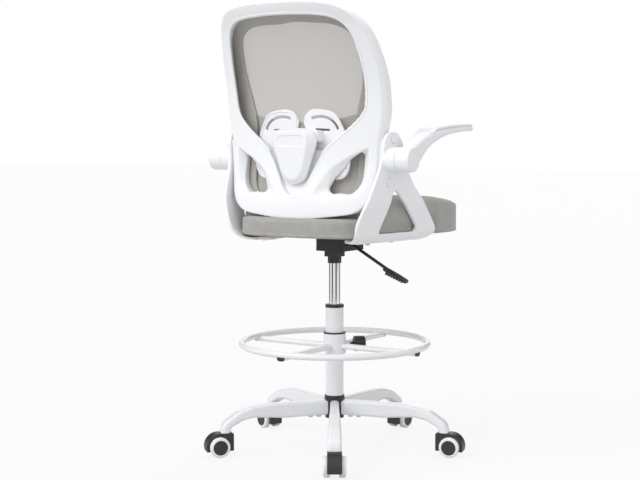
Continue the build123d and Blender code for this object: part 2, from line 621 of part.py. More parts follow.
def lever_handle():
    """The flat grip on the rod's end."""
    (x0, z0), (x1, z1) = HANDLE_START, HANDLE_END
    length = hypot(x1 - x0, z1 - z0)
    along = Vector(-(x1 - x0) / length, 0, (z1 - z0) / length)
    sections = []
    for share, width, thick in ((0.0, 0.62, 1.0), (0.25, 0.8, 1.1), (0.7, 1.0, 1.0), (1.0, 0.9, 0.8)):
        at = Vector(-x0, 0, z0) + along * (share * length)
        plane = Plane(origin=at, x_dir=(0, 1, 0), z_dir=along)
        corner = HANDLE_T * thick / 2 - 0.6
        sections.append(plane * RectangleRounded(HANDLE_W * width, HANDLE_T * thick, corner))
    body = loft(sections)
    dx, dz = lever_direction()
    bore_at = Plane(origin=(-LEVER_END[0], 0, LEVER_END[1]), x_dir=(0, 1, 0), z_dir=(dx, 0, -dz))
    return body - extrude(bore_at * Circle(LEVER_R + FIT), 80)


# ---------------------------------------------------------------- seat

def seat_face(scale_by=1.0, shift=0.0):
    points = [(x * scale_by, y * scale_by + shift) for x, y in mirrored(SEAT_OUTLINE)]
    return smooth_face(points)


def seat_board():
    board = Pos(0, 0, SEAT_BOTTOM) * extrude(seat_face(BOARD_SHRINK, BOARD_Y), BOARD_T)
    for x, y, z in seat_bolt_places():
        board -= Pos(x, y, 0) * rod(BOLT_R + FIT, SEAT_BOTTOM - 1, SEAT_BOTTOM + BOARD_T + 1)
    return board


def seat_cushion():
    """The padded seat: tucked in beside the brackets and under the back."""
    body = Pos(0, 0, SEAT_BOTTOM) * extrude(seat_face(), SEAT_TOP - SEAT_BOTTOM)
    body = fillet(body.faces().sort_by(Axis.Z)[-1].edges(), SEAT_ROUND_TOP)
    body = fillet(body.faces().sort_by(Axis.Z)[0].edges(), SEAT_ROUND_BOTTOM)
    crown = Spline(*SEAT_TOP_LINE)
    corners = Polyline(crown @ 1, (300, SEAT_BOTTOM - 1), (-300, SEAT_BOTTOM - 1), crown @ 0)
    body &= extrude(Plane.YZ * make_face([crown, *corners.edges()]), 400, both=True)
    front, rear = min(y for y, z in BRACKET_OUTLINE) - SEAT_GAP, 260
    beside = bracket_wall(BRACKET_T + SEAT_GAP) + bracket_wall(BRACKET_OUTSIDE, Side.LEFT)
    beside &= block(0, 300, front, rear, SEAT_BOTTOM - 1, SEAT_TOP + 1)
    body -= beside + mirror(beside, Plane.YZ)
    under_back = back_slab(100, -RAIL_DEPTH - SEAT_GAP * 2 - MESH_FRAME_T) & block(
        -BACK_HALF, BACK_HALF, 0, 300, BACK_OUTLINE[-1][1] - 2, 700)
    body -= under_back
    room = extrude(seat_face(BOARD_SHRINK, BOARD_Y), BOARD_T + SEAT_GAP + 1)
    return body - Pos(0, 0, SEAT_BOTTOM - 1) * room


def seat_bolt_places():
    """x, y and underside height of each bolt that goes up into the seat board."""
    plate = [(x, y, SEAT_BOTTOM - FACE_GAP - FLANGE_T) for x, y in plate_bolt_places()]
    foot = [(side * FOOT_BOLT_X, y, BRACKET_BOTTOM) for side in (-1, 1) for y in FOOT_BOLT_YS]
    return plate + foot


# ---------------------------------------------------------------- arm brackets

def face_x(y, z):
    """x of the bracket's outer face, on the +X side, before it turns in."""
    return BRACKET_OFFSET - TOE * y + FLARE * z


def face_plane(inset=0.0):
    """The plane of the bracket's outer face, moved inwards by inset, its normal pointing outwards."""
    return Plane(origin=(face_x(0, 0), 0, 0), z_dir=(1, TOE, -FLARE)).offset(-inset)


def bracket_wall(thickness, side=Side.RIGHT):
    """The bent section of the bracket, run along the toed-out direction, inwards or outwards of its face."""
    top = BRACKET_OUTLINE[0][1] + 20
    toe = atan2(TOE, 1)
    low = face_x(0, BRACKET_BOTTOM) - BRACKET_BEND_IN
    path = FilletPolyline((face_x(0, top) * cos(toe), top),
                          (face_x(0, BRACKET_BEND_Z) * cos(toe), BRACKET_BEND_Z),
                          (low * cos(toe), BRACKET_BOTTOM),
                          (BRACKET_FOOT_X, BRACKET_BOTTOM),
                          radius=[BRACKET_BEND_R, BRACKET_FOOT_ROUND])
    section = make_face(offset(path, thickness, side=side))
    return Rot(0, 0, degrees(toe)) * extrude(Plane.XZ * section, 400, both=True)


def bracket_window():
    window = make_face(Polyline(HOLE_APEX, HOLE_REAR, HOLE_FRONT, close=True))
    return fillet(window.vertices(), HOLE_CORNER)


def bracket():
    """The bracket on the +X side."""
    side = make_face(Spline(*BRACKET_OUTLINE, periodic=True))
    body = bracket_wall(BRACKET_T) & extrude(Plane.YZ * side, 400)
    body += along_x(HUB_R_ARM, face_x(PIVOT_Y, PIVOT_Z) - BRACKET_T / 2, HUB_SEAM - FACE_GAP, PIVOT_Y, PIVOT_Z)
    body -= Pos(BRACKET_FOOT_X, 0, 0) * extrude(Plane.YZ * bracket_window(), 200)
    foot_end = face_x(0, BRACKET_BOTTOM) - BRACKET_BEND_IN - BRACKET_FOOT_ROUND
    low, high = BRACKET_FOOT_YS
    body -= block(0, foot_end - TOE * high, high, 300, 0, SEAT_BOTTOM)
    body -= block(0, foot_end - TOE * low, -300, low, 0, SEAT_BOTTOM)
    for y, z in zip(BRACKET_BOLT_Y, BRACKET_BOLT_HEIGHTS):
        body -= bracket_axis(y, z) * Cylinder(BOLT_R + FIT, 80)
        room = CAP_SINK + BOLT_HEAD_H + FACE_GAP * 2
        body -= bracket_axis(y, z) * Pos(0, 0, 10 - room) * Cylinder(CAP_R + FIT, 20)
    for y in FOOT_BOLT_YS:
        body -= Pos(FOOT_BOLT_X, y, 0) * rod(BOLT_R + FIT, BRACKET_BOTTOM - 1, SEAT_BOTTOM)
    return body - along_x(PIVOT_R + FIT, 0, HUB_OUTER, PIVOT_Y, PIVOT_Z)


def bracket_axis(y, z):
    """Frame at a bolt on the bracket's outer face, its +Z pointing outwards."""
    return Plane(origin=(face_x(y, z), y, z), z_dir=(1, TOE, -FLARE)).location


def frame_bolts():
    """Bolts through the brackets into the back, and up into the seat board."""
    pieces = []
    for y, z in zip(BRACKET_BOLT_Y, BRACKET_BOLT_HEIGHTS):
        top = -CAP_SINK - FACE_GAP
        head = Pos(0, 0, top - BOLT_HEAD_H / 2) * Cylinder(BOLT_HEAD_R + 2, BOLT_HEAD_H)
        shank = Pos(0, 0, top - BOLT_HEAD_H - 10) * Cylinder(BOLT_R, 20)
        bolt = bracket_axis(y, z) * (head + shank)
        pieces += [bolt, mirror(bolt, Plane.YZ)]
    for x, y, z in seat_bolt_places():
        head = rod(BOLT_HEAD_R, z - BOLT_HEAD_H, z)
        pieces.append(Pos(x, y, 0) * (head + rod(BOLT_R, z, SEAT_BOTTOM + BOARD_T - 1)))
    return pieces


def bolt_caps():
    pieces = []
    for y, z in zip(BRACKET_BOLT_Y, BRACKET_BOLT_HEIGHTS):
        cap = Pos(0, 0, (CAP_T - CAP_SINK) / 2) * Cylinder(CAP_R, CAP_T + CAP_SINK)
        cap = fillet(cap.faces().sort_by(Axis.Z)[-1].edges(), 1.2)
        cap = bracket_axis(y, z) * cap
        pieces += [cap, mirror(cap, Plane.YZ)]
    return pieces


# ---------------------------------------------------------------- back

def back_slab(rear, front, curved=True):
    """A slab between two distances from the back's rear surface, or from its centre line if not curved."""
    fall = BACK_CURVE * BACK_HALF ** 2 if curved else 0.001
    sections = []
    for z, y in BACK_PROFILE:
        left, right = -BACK_HALF, BACK_HALF
        edges = [ThreePointArc((left, y + rear - fall), (0, y + rear), (right, y + rear - fall)),
                 Line((right, y + rear - fall), (right, y + front - fall)),
                 ThreePointArc((right, y + front - fall), (0, y + front), (left, y + front - fall)),
                 Line((left, y + front - fall), (left, y + rear - fall))]
        sections.append(Pos(0, 0, z) * make_face(edges))
    return loft(sections)


def through_back(face):
    """A prism through the back from a face drawn in x and z."""
    return extrude(Plane.XZ * face, 400, both=True)


def rear_y(x, z):
    return between(BACK_PROFILE, z) - BACK_CURVE * x * x


def flared_prism(rear_points, front_points, depth, planes, limit=None, flat_end=False):
    """A solid whose sides run from an outline on the rear surface to another at a depth before it.

    The slope goes on for limit times the depth, and the sides are straight after that. With a flat
    end, a straight line closes the outline from its last point to its first.
    """
    lengths = [0.0]
    closed = rear_points if flat_end else rear_points + rear_points[:1]
    for (x0, z0), (x1, z1) in zip(closed, closed[1:]):
        lengths.append(lengths[-1] + hypot(x1 - x0, z1 - z0))
    shares = [length / lengths[-1] for length in lengths]
    faces = []
    for y in planes:
        points = []
        for (x0, z0), (x1, z1) in zip(rear_points, front_points):
            share = (rear_y(x0, z0) - y) / depth
            if limit:
                share = min(share, limit)
            points.append((x0 + (x1 - x0) * share, z0 + (z1 - z0) * share))
        curve = Edge.make_spline([Vector(*p) for p in points], periodic=not flat_end, parameters=shares)
        edges = [curve, Line(curve @ 1, curve @ 0)] if flat_end else [curve]
        faces.append(Plane.XZ.offset(-y) * make_face(edges))
    return loft(faces, ruled=True)


def flared_outward(points):
    """The outline moved out sideways by the flare at each height."""
    count = len(points)
    moved = []
    for k, (x, z) in enumerate(points):
        (x0, z0), (x1, z1) = points[k - 1], points[(k + 1) % count]
        side = (z1 - z0) / hypot(x1 - x0, z1 - z0)
        moved.append((x - abs(side) * side * between(BACK_FLARE, z), z))
    return moved


def both_sides(points):
    """The points from the last one's mirror image, over the centre line, to the last one."""
    return [(-x, z) for x, z in reversed(points) if x > 0] + list(points)


def curve_and_line(points):
    """A face inside a smooth curve through the mirrored points, closed by a straight line."""
    curve = Spline(*both_sides(points))
    return make_face([curve, Line(curve @ 1, curve @ 0)])


def ear():
    """The thick side of the back that bolts to the bracket, on the +X side."""
    prism = Pos(150, 0, 0) * extrude(Plane.YZ * make_face(Polyline(*EAR_OUTLINE, close=True)), 120)
    outer = face_plane(BRACKET_T + FACE_GAP)
    inner = face_plane(BRACKET_T + FACE_GAP + EAR_T)
    return split(split(prism, outer, keep=Keep.BOTTOM), inner, keep=Keep.TOP)


def back_frame():
    outline = mirrored(BACK_OUTLINE)
    widest = flared_outward(outline)
    body = back_slab(0, -RAIL_DEPTH) & through_back(smooth_face(widest))
    body &= flared_prism(outline, widest, BACK_EDGE_DEPTH, FLARE_PLANES)
    body -= back_slab(-WEB_FRONT, -RAIL_DEPTH * 3, curved=False) & through_back(
        smooth_face(mirrored(INNER_OUTLINE)))
    body -= flared_prism(both_sides(OPENING_OUTLINE), both_sides(OPENING_FRONT), RAIL_DEPTH, OPENING_PLANES,
                         flat_end=True)
    body -= back_slab(RAIL_DEPTH, -RECESS_DEPTH) & through_back(curve_and_line(RECESS_OUTLINE))
    hole = flared_prism(LOWER_HOLE, LOWER_HOLE_FRONT, HOLE_DEPTH, HOLE_PLANES, 1)
    body -= hole
    body -= mirror(hole, Plane.YZ)
    body += ear()
    body += mirror(ear(), Plane.YZ)
    for y, z in zip(BRACKET_BOLT_Y, BRACKET_BOLT_HEIGHTS):
        bolt_room = bracket_axis(y, z) * Cylinder(BOLT_R + FIT, 60)
        body -= bolt_room + mirror(bolt_room, Plane.YZ)
    return body


def mesh_frame():
    rear = -RAIL_DEPTH - SEAT_GAP
    ring = through_back(smooth_face(mirrored(MESH_OUTLINE))) - through_back(smooth_face(mirrored(MESH_INNER)))
    return back_slab(rear, rear - MESH_FRAME_T) & ring


def mesh_panel():
    rear = -RAIL_DEPTH - SEAT_GAP - MESH_SET_BACK
    middle, half = (MESH_INNER[0][1] + MESH_INNER[-1][1]) / 2, max(x for x, z in MESH_INNER)
    share = 1 - SEAT_GAP / half
    panel = through_back(smooth_face([(x * share, middle + (z - middle) * share)
                                      for x, z in mirrored(MESH_INNER)]))
    return back_slab(rear, rear - MESH_T) & panel


def spine_cover():
    """The loaf-shaped cover over the lumbar support's slide, with a bare recess on its face."""
    base_face = smooth_face(mirrored(COVER_OUTLINE))
    base = extrude(Plane.XZ.offset(-COVER_EDGE_Y) * base_face, COVER_EDGE_Y - COVER_BASE_Y)
    top_z, bottom_z = COVER_FACE[0][1], COVER_FACE[-1][1]
    lean = (COVER_FACE_TOP_Y - COVER_FACE_BOTTOM_Y) / (top_z - bottom_z)
    face_plane_y = COVER_FACE_BOTTOM_Y
    front = Plane(origin=(0, face_plane_y, bottom_z), x_dir=(1, 0, 0), z_dir=(0, -1, lean))
    stretch = hypot(1, lean)
    outline = [(x, (z - bottom_z) * stretch) for x, z in mirrored(COVER_FACE)]
    loaf = loft([Plane.XZ.offset(-COVER_EDGE_Y) * base_face, front * make_face(Spline(*outline, periodic=True))],
                ruled=True)
    loaf = fillet(loaf.faces().sort_by(Axis.Y)[-1].edges(), COVER_ROUND)
    pill_at = front * Pos(0, (PILL_Z - bottom_z) * stretch, 0)
    return base + loaf - pill_at * extrude(SlotOverall(2 * PILL_HALF, 2 * PILL_R), PILL_DEPTH, both=True)


def lumbar_support():
    """The butterfly plate behind the mesh, with the carriage that joins it to the cover."""
    half_width, bottom, top = LUMBAR_CENTRE
    lobes = smooth_face(LUMBAR_UPPER) + smooth_face(LUMBAR_LOWER)
    lobes += Pos(half_width / 2, (bottom + top) / 2) * Rectangle(half_width, top - bottom)
    slot = trace(Spline(*LUMBAR_SLOT), 2 * LUMBAR_SLOT_R)
    lobes -= slot
    plate = extrude(Plane.XZ * lobes, 300, both=True)
    plate += mirror(plate, Plane.YZ)
    front = LUMBAR_REAR - LUMBAR_T
    low, bend, high = 600, LUMBAR_BEND_Z, 900
    lean = (high - bend) * LUMBAR_LEAN
    profile = make_face(Polyline((front, low), (LUMBAR_REAR, low), (LUMBAR_REAR, bend),
                                 (LUMBAR_REAR + lean, high), (front + lean, high), (front, bend), close=True))
    plate &= extrude(Plane.YZ * profile, 300, both=True)
    carriage = block(-CARRIAGE_HALF, CARRIAGE_HALF, front + 1, COVER_BASE_Y, CARRIAGE_BOTTOM, CARRIAGE_TOP)
    return plate + fillet(carriage.edges().filter_by(Axis.Y), 6)


# ---------------------------------------------------------------- arms, on the +X side

def arm_section(station, low, high, inset):
    """A section across the arm between two shares of its thickness above its centre."""
    y, z, rise, thickness, inner, outer = station
    slope = radians(rise)
    plane = Plane(origin=((inner + outer) / 2, y, z), x_dir=(1, 0, 0), z_dir=(0, -cos(slope), sin(slope)))
    width = outer - inner - 2 * inset
    height = (high - low) * thickness
    corner = min(width, height) / 2 - 0.6
    return plane * Pos(0, (low + high) / 2 * thickness) * RectangleRounded(width, height, min(corner, 9))


def arm():
    body = along_x(HUB_R_ARM, HUB_SEAM, HUB_OUTER, PIVOT_Y, PIVOT_Z)
    body = fillet(body.faces().sort_by(Axis.X)[-1].edges(), HUB_EDGE)
    body += loft([arm_section(s, -0.5, 0.5, 0) for s in ARM_STATIONS])
    return body - along_x(PIVOT_R + FIT, 0, HUB_OUTER - 5, PIVOT_Y, PIVOT_Z)


def arm_pad():
    """The soft pad that lies on the arm."""
    sections = []
    for y, z, rise, thickness, inner, outer in ARM_STATIONS[PAD_FIRST_STATION:]:
        slope = radians(rise)
        lift = thickness / 2 + PAD_T / 2 + FACE_GAP
        at = (y, z + lift / cos(slope))
        sections.append(arm_section((at[0], at[1], rise, PAD_T, inner, outer), -0.5, 0.5, PAD_INSET))
    return loft(sections)


def arm_pivot_pins():
    inner = face_x(PIVOT_Y, PIVOT_Z) - BRACKET_T + 1
    pin = along_x(PIVOT_R, inner, HUB_OUTER - 5.5, PIVOT_Y, PIVOT_Z)
    return [pin, mirror(pin, Plane.YZ)]


# ---------------------------------------------------------------- all nodes

def main():
    os.makedirs("parts", exist_ok=True)
    hood, wheels = caster_hood(), {"left": caster_wheel(-1), "right": caster_wheel(1)}
    pins, one_leg = caster_pins(), leg()
    for k in range(LEG_COUNT):
        turn = Rot(0, 0, BASE_TURN + k * 360 / LEG_COUNT)
        place = turn * Pos(STEM_RADIUS_FROM_AXIS, 0, 0)
        name = f"caster_{k + 1}_"
        save(f"leg_{k + 1}", turn * one_leg)
        save(name + "hood", place * hood)
        save(name + "stem_and_axle", *[place * pin for pin in pins])
        for side, pieces in wheels.items():
            save(name + "wheel_" + side, *[place * piece for piece in pieces])
    save("base_hub", base_hub())
    save("hub_bolts", *hub_bolts())
    save("column_tube", column_tube())
    save("column_bush", column_bush())
    save("thrust_bearing", *thrust_bearing())
    rod_piece, clip = piston_rod()
    save("piston_rod", rod_piece)
    save("retaining_clip", clip)
    save("gas_cylinder", gas_cylinder())
    save("release_pin", release_pin())
    save("foot_ring_hoop", ring_hoop())
    save("foot_ring_spokes", *spokes())
    save("spoke_end_caps", *spoke_caps())
    save("foot_ring_sleeve", ring_sleeve())
    save("foot_ring_liner", ring_liner())
    save("ring_lock_knob", ring_knob())
    save("seat_plate", seat_plate())
    save("taper_socket", taper_socket())
    save("lever_rod", lever_rod())
    save("lever_handle", lever_handle())
    save("seat_board", seat_board())
    save("seat_cushion", seat_cushion())
    save("frame_bolts", *frame_bolts())
    save("bracket_bolt_caps", *bolt_caps())
    save("back_frame", back_frame())
    save("mesh_frame", mesh_frame())
    save("mesh_panel", mesh_panel())
    save("spine_cover", spine_cover())
    save("lumbar_support", lumbar_support())
    for side, pieces in {"left": (bracket(), arm(), arm_pad())}.items():
        for name, piece in zip(("arm_bracket", "arm", "arm_pad"), pieces):
            save(name + "_left", piece)
            save(name + "_right", mirror(piece, Plane.YZ))
    save("arm_pivot_pins", *arm_pivot_pins())


if __name__ == "__main__":
    main()
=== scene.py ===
"""Drafting chair: the looks of its pieces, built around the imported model.

Every length is in metres, in the model's own frame: +Z up, the sitter faces -Y,
and the column's axis is the Z axis.
"""
import json
import math

import bmesh
import bpy
import numpy as np
from mathutils import Matrix, Vector
from mathutils.bvhtree import BVHTree


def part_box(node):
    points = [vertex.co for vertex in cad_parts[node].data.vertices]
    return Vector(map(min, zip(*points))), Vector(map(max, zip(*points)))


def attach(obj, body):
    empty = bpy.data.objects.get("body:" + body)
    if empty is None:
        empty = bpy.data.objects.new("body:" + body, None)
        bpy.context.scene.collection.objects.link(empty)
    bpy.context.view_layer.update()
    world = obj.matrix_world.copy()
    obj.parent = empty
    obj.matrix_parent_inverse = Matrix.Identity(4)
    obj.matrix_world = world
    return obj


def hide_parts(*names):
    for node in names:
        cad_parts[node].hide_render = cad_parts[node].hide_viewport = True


bl_info = {
    "name": "Drafting Chair Looks",
    "version": (1, 0, 0),
    "blender": (4, 5, 0),
    "location": "View3D > Sidebar > Chair",
    "description": "Builds the visible pieces and finishes of a drafting chair around its packed model",
    "category": "Object",
}

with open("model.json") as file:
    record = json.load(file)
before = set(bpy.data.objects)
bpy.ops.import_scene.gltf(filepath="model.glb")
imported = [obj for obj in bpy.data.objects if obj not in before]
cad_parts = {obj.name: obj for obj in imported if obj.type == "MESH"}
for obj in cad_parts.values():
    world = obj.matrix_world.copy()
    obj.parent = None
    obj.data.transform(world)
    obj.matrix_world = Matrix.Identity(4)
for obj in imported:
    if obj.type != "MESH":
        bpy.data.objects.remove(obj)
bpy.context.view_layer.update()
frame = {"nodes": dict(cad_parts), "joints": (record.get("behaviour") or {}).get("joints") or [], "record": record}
NODES = frame["nodes"]

# CAD nodes that keep their own mesh, by the finish they get
KEPT_NODES = {
    "Powder coat white": ["column_tube", "foot_ring_hoop", "foot_ring_spokes", "foot_ring_sleeve",
                          "leg_1", "leg_2", "leg_3", "leg_4", "leg_5"],
    "Moulded white": ["bracket_bolt_caps"],
    "Black nylon": ["base_hub", "column_bush", "spoke_end_caps", "foot_ring_liner", "ring_lock_knob",
                    "caster_1_hood", "caster_2_hood", "caster_3_hood", "caster_4_hood", "caster_5_hood"],
    "Black steel": ["seat_plate", "taper_socket", "lever_rod"],
    "Bare steel": ["hub_bolts", "thrust_bearing", "piston_rod", "retaining_clip", "release_pin",
                   "frame_bolts", "arm_pivot_pins", "caster_1_stem_and_axle", "caster_2_stem_and_axle",
                   "caster_3_stem_and_axle", "caster_4_stem_and_axle", "caster_5_stem_and_axle"],
    "Polished chrome": ["gas_cylinder"],
    "Plywood": ["seat_board"],
}
WHEELS = [f"caster_{k}_wheel_{side}" for k in range(1, 6) for side in ("left", "right")]
WHEEL_DISC_RADIUS = 0.0181

HUB_GROOVE_RADII = (0.0243, 0.0233)
HUB_GROOVE_DEPTH = 0.0012
PAD_GROWTH = 0.0004
PAD_RUN_OUT = 0.034

OPENING_MIDDLE_SHARE = 0.57   # of the back frame's height
LIP_START = 0.0005
LIP_HEIGHT = 0.0012

# Rims of the lumbar plate's lobes on the +X side, and its short lower slot, across and up
UPPER_LOBE = [(0.0122, 0.8000), (0.0115, 0.8280), (0.0240, 0.8400), (0.0620, 0.8430), (0.0960, 0.8330),
              (0.1140, 0.8060), (0.1220, 0.7800)]
LOWER_LOBE = [(0.1300, 0.7440), (0.1340, 0.7120), (0.1200, 0.6840), (0.0840, 0.6800), (0.0520, 0.7000)]
LOWER_SLOT = [(0.0420, 0.7965), (0.0780, 0.7950)]
RIM_SPAN = (-0.0062, -0.0006)
RIM_HEIGHT = 0.0019

PANEL_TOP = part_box("mesh_panel")[1].z
PANEL_MIDDLE = sum(corner.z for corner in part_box("mesh_panel")) / 2


# ------------------------------------------------------------------ sizes and colours

class ChairColours(bpy.types.PropertyGroup):
    """Colours of the finishes."""
    white_coat: bpy.props.FloatVectorProperty(
        name="White coat", description="Powder coat of the base, column and foot ring",
        subtype="COLOR", size=3, min=0, max=1, default=(0.79, 0.795, 0.815))
    white_shell: bpy.props.FloatVectorProperty(
        name="White shell", description="Mouldings of the back, brackets and arms",
        subtype="COLOR", size=3, min=0, max=1, default=(0.86, 0.865, 0.88))
    black: bpy.props.FloatVectorProperty(
        name="Black", description="Nylon and coated steel under the seat and on the casters",
        subtype="COLOR", size=3, min=0, max=1, default=(0.018, 0.018, 0.019))
    seat_cloth: bpy.props.FloatVectorProperty(
        name="Seat cloth", description="Woven cover of the cushion",
        subtype="COLOR", size=3, min=0, max=1, default=(0.355, 0.347, 0.325))
    mesh_cloth: bpy.props.FloatVectorProperty(
        name="Mesh cloth", description="Yarn of the stretched back mesh",
        subtype="COLOR", size=3, min=0, max=1, default=(0.4, 0.352, 0.315))
    held_cloth: bpy.props.FloatVectorProperty(
        name="Held mesh", description="The mesh where it is doubled, and where it is wrapped round its frame",
        subtype="COLOR", size=3, min=0, max=1, default=(0.405, 0.385, 0.362))


class ChairSizes(bpy.types.PropertyGroup):
    """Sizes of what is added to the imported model."""
    shell_grid: bpy.props.FloatProperty(
        name="Shell grid", description="Grid step of the moulded shells",
        subtype="DISTANCE", unit="LENGTH", default=0.0018, min=0.0008, max=0.006)
    shell_rounding: bpy.props.IntProperty(
        name="Shell rounding", description="Smoothing passes that round the shells' edges",
        default=4, min=0, max=60)
    lip_width: bpy.props.FloatProperty(
        name="Lip width", description="Width of the raised lip round the back's opening",
        subtype="DISTANCE", unit="LENGTH", default=0.0062, min=0.002, max=0.012)
    cushion_grid: bpy.props.FloatProperty(
        name="Cushion grid", description="Grid step of the cushion before it swells",
        subtype="DISTANCE", unit="LENGTH", default=0.006, min=0.003, max=0.012)
    cushion_swell: bpy.props.FloatProperty(
        name="Cushion swell", description="How far the cloth run may move the cushion's cover",
        subtype="DISTANCE", unit="LENGTH", default=0.005, min=0.0, max=0.02)
    weave_pitch: bpy.props.FloatProperty(
        name="Weave pitch", description="Distance between the threads of the seat's cover",
        subtype="DISTANCE", unit="LENGTH", default=0.0042, min=0.0005, max=0.01)
    mesh_pitch: bpy.props.FloatProperty(
        name="Mesh pitch", description="Distance between the holes of the back mesh",
        subtype="DISTANCE", unit="LENGTH", default=0.003, min=0.001, max=0.01)
    double_drop: bpy.props.FloatProperty(
        name="Doubled mesh", description="How far below the panel's top the back mesh is doubled",
        subtype="DISTANCE", unit="LENGTH", default=0.2323, min=0.0, max=0.4)
    mesh_step: bpy.props.FloatProperty(
        name="Mesh step", description="Grid step of the stretched mesh sheet",
        subtype="DISTANCE", unit="LENGTH", default=0.004, min=0.002, max=0.02)
    mesh_hold: bpy.props.FloatProperty(
        name="Mesh hold", description="How far the mesh runs into the frame that holds it",
        subtype="DISTANCE", unit="LENGTH", default=0.006, min=0.002, max=0.01)


class ChairStage(bpy.types.PropertyGroup):
    """The floor, lamps and camera."""
    camera_place: bpy.props.FloatVectorProperty(
        name="Camera", description="Place of the camera", subtype="TRANSLATION", unit="LENGTH",
        size=3, default=(-1.7634, 2.7787, 0.769))
    camera_tilt: bpy.props.FloatProperty(
        name="Tilt", description="How far the camera looks down", subtype="ANGLE", unit="ROTATION",
        default=math.radians(4.27))
    lens: bpy.props.FloatProperty(
        name="Lens", description="Focal length in millimetres", default=74.59, min=20, max=200)
    shift: bpy.props.FloatProperty(
        name="Shift", description="Sideways shift of the frame", default=-0.0228)
    lamp_level: bpy.props.FloatProperty(
        name="Lamp level", description="Strength of the soft lamps", default=1.12, min=0, max=5)
    world_level: bpy.props.FloatProperty(
        name="World level", description="Strength of the even light from all round", default=0.68,
        min=0, max=3)


def colours():
    return bpy.context.scene.chair_colours


def sizes():
    return bpy.context.scene.chair_sizes


# ------------------------------------------------------------------ materials

class Finish:
    """A material with a Principled shader, and short ways to add nodes to it."""

    def __init__(self, name, colour, roughness, metallic=0.0):
        self.material = bpy.data.materials.new(name)
        self.material.use_nodes = True
        self.material.diffuse_color = (*colour, 1)
        self.tree = self.material.node_tree
        self.shader = self.tree.nodes["Principled BSDF"]
        self.shader.inputs["Base Color"].default_value = (*colour, 1)
        self.shader.inputs["Roughness"].default_value = roughness
        self.shader.inputs["Metallic"].default_value = metallic
        self.colour = colour

    def node(self, kind, **values):
        made = self.tree.nodes.new(kind)
        for key, value in values.items():
            setattr(made, key, value)
        return made

    def link(self, source, target):
        self.tree.links.new(source, target)

    def math(self, operation, a, b=None, clamp=False):
        made = self.node("ShaderNodeMath", operation=operation, use_clamp=clamp)
        for socket, value in zip(made.inputs, (a, b)):
            if value is None:
                continue
            if isinstance(value, (int, float)):
                socket.default_value = value
            else:
                self.link(value, socket)
        return made.outputs[0]

    def place(self):
        return self.node("ShaderNodeTexCoord").outputs["Object"]

    def noise(self, scale, detail=2.0, stretch=None):
        made = self.node("ShaderNodeTexNoise")
        made.inputs["Scale"].default_value = scale
        made.inputs["Detail"].default_value = detail
        place = self.place()
        if stretch is not None:
            mapping = self.node("ShaderNodeMapping")
            mapping.inputs["Scale"].default_value = stretch
            self.link(place, mapping.inputs["Vector"])
            place = mapping.outputs["Vector"]
        self.link(place, made.inputs["Vector"])
        return made.outputs["Fac"]

    def spread(self, value, low, high):
        """value, from 0 to 1, turned into low to high."""
        made = self.node("ShaderNodeMapRange")
        made.inputs["To Min"].default_value = low
        made.inputs["To Max"].default_value = high
        self.link(value, made.inputs["Value"])
        return made.outputs["Result"]

    def tint(self, value, dark, light):
        """The base colour, from dark to light times the finish's colour, by value."""
        made = self.node("ShaderNodeMix", data_type="RGBA")
        made.inputs["A"].default_value = (*[c * dark for c in self.colour], 1)
        made.inputs["B"].default_value = (*[min(1.0, c * light) for c in self.colour], 1)
        self.link(value, made.inputs["Factor"])
        self.link(made.outputs["Result"], self.shader.inputs["Base Color"])

    def rough(self, value, low, high):
        self.link(self.spread(value, low, high), self.shader.inputs["Roughness"])

    def bump(self, height, distance, strength=1.0):
        made = self.node("ShaderNodeBump")
        made.inputs["Distance"].default_value = distance
        made.inputs["Strength"].default_value = strength
        self.link(height, made.inputs["Height"])
        self.link(made.outputs["Normal"], self.shader.inputs["Normal"])

    def set(self, **values):
        for key, value in values.items():
            self.shader.inputs[key.replace("_", " ")].default_value = value
        return self


def powder_coat(name, colour, roughness):
    """Sprayed and baked coat: glossy, with a faint orange peel."""
    made = Finish(name, colour, roughness)
    made.tint(made.noise(9, 3), 0.985, 1.01)
    made.rough(made.noise(60, 2), roughness - 0.04, roughness + 0.06)
    made.bump(made.noise(900, 1), 0.00004)
    return made.material


def moulding(name, colour, roughness, grain=1400, depth=0.00003):
    """Moulded plastic: satin, with a fine spark-eroded grain."""
    made = Finish(name, colour, roughness)
    made.tint(made.noise(5, 2), 0.985, 1.01)
    made.rough(made.noise(40, 2), roughness - 0.05, roughness + 0.05)
    made.bump(made.noise(grain, 2), depth)
    return made.material


def bare_metal(name, colour, roughness, stretch):
    """Turned or rolled metal, with fine lines across its length."""
    made = Finish(name, colour, roughness, metallic=1.0)
    lines = made.noise(30, 4, stretch)
    made.rough(lines, roughness * 0.7, roughness * 1.4)
    made.tint(made.noise(20, 2), 0.95, 1.02)
    made.bump(lines, 0.00001)
    return made.material


def plywood():
    made = Finish("Plywood", (0.55, 0.38, 0.22), 0.6)
    rings = made.noise(14, 6, (1.0, 9.0, 1.0))
    made.tint(rings, 0.75, 1.15)
    made.bump(rings, 0.0002)
    return made.material


def weave(finish, pitch, aspect=1.0, turn=0.0):
    """Height of a woven surface, from the sheet's own coordinates: two sets of threads that cross."""
    source = finish.node("ShaderNodeUVMap", uv_map="Cloth").outputs["UV"]
    mapping = finish.node("ShaderNodeMapping")
    mapping.inputs["Rotation"].default_value = (0, 0, turn)
    finish.link(source, mapping.inputs["Vector"])
    split = finish.node("ShaderNodeSeparateXYZ")
    finish.link(mapping.outputs["Vector"], split.inputs[0])
    across = finish.math("SINE", finish.math("MULTIPLY", split.outputs[0], 2 * math.pi / pitch))
    along = finish.math("SINE", finish.math("MULTIPLY", split.outputs[1], 2 * math.pi / (pitch * aspect)))
    return finish.math("MULTIPLY", across, along)


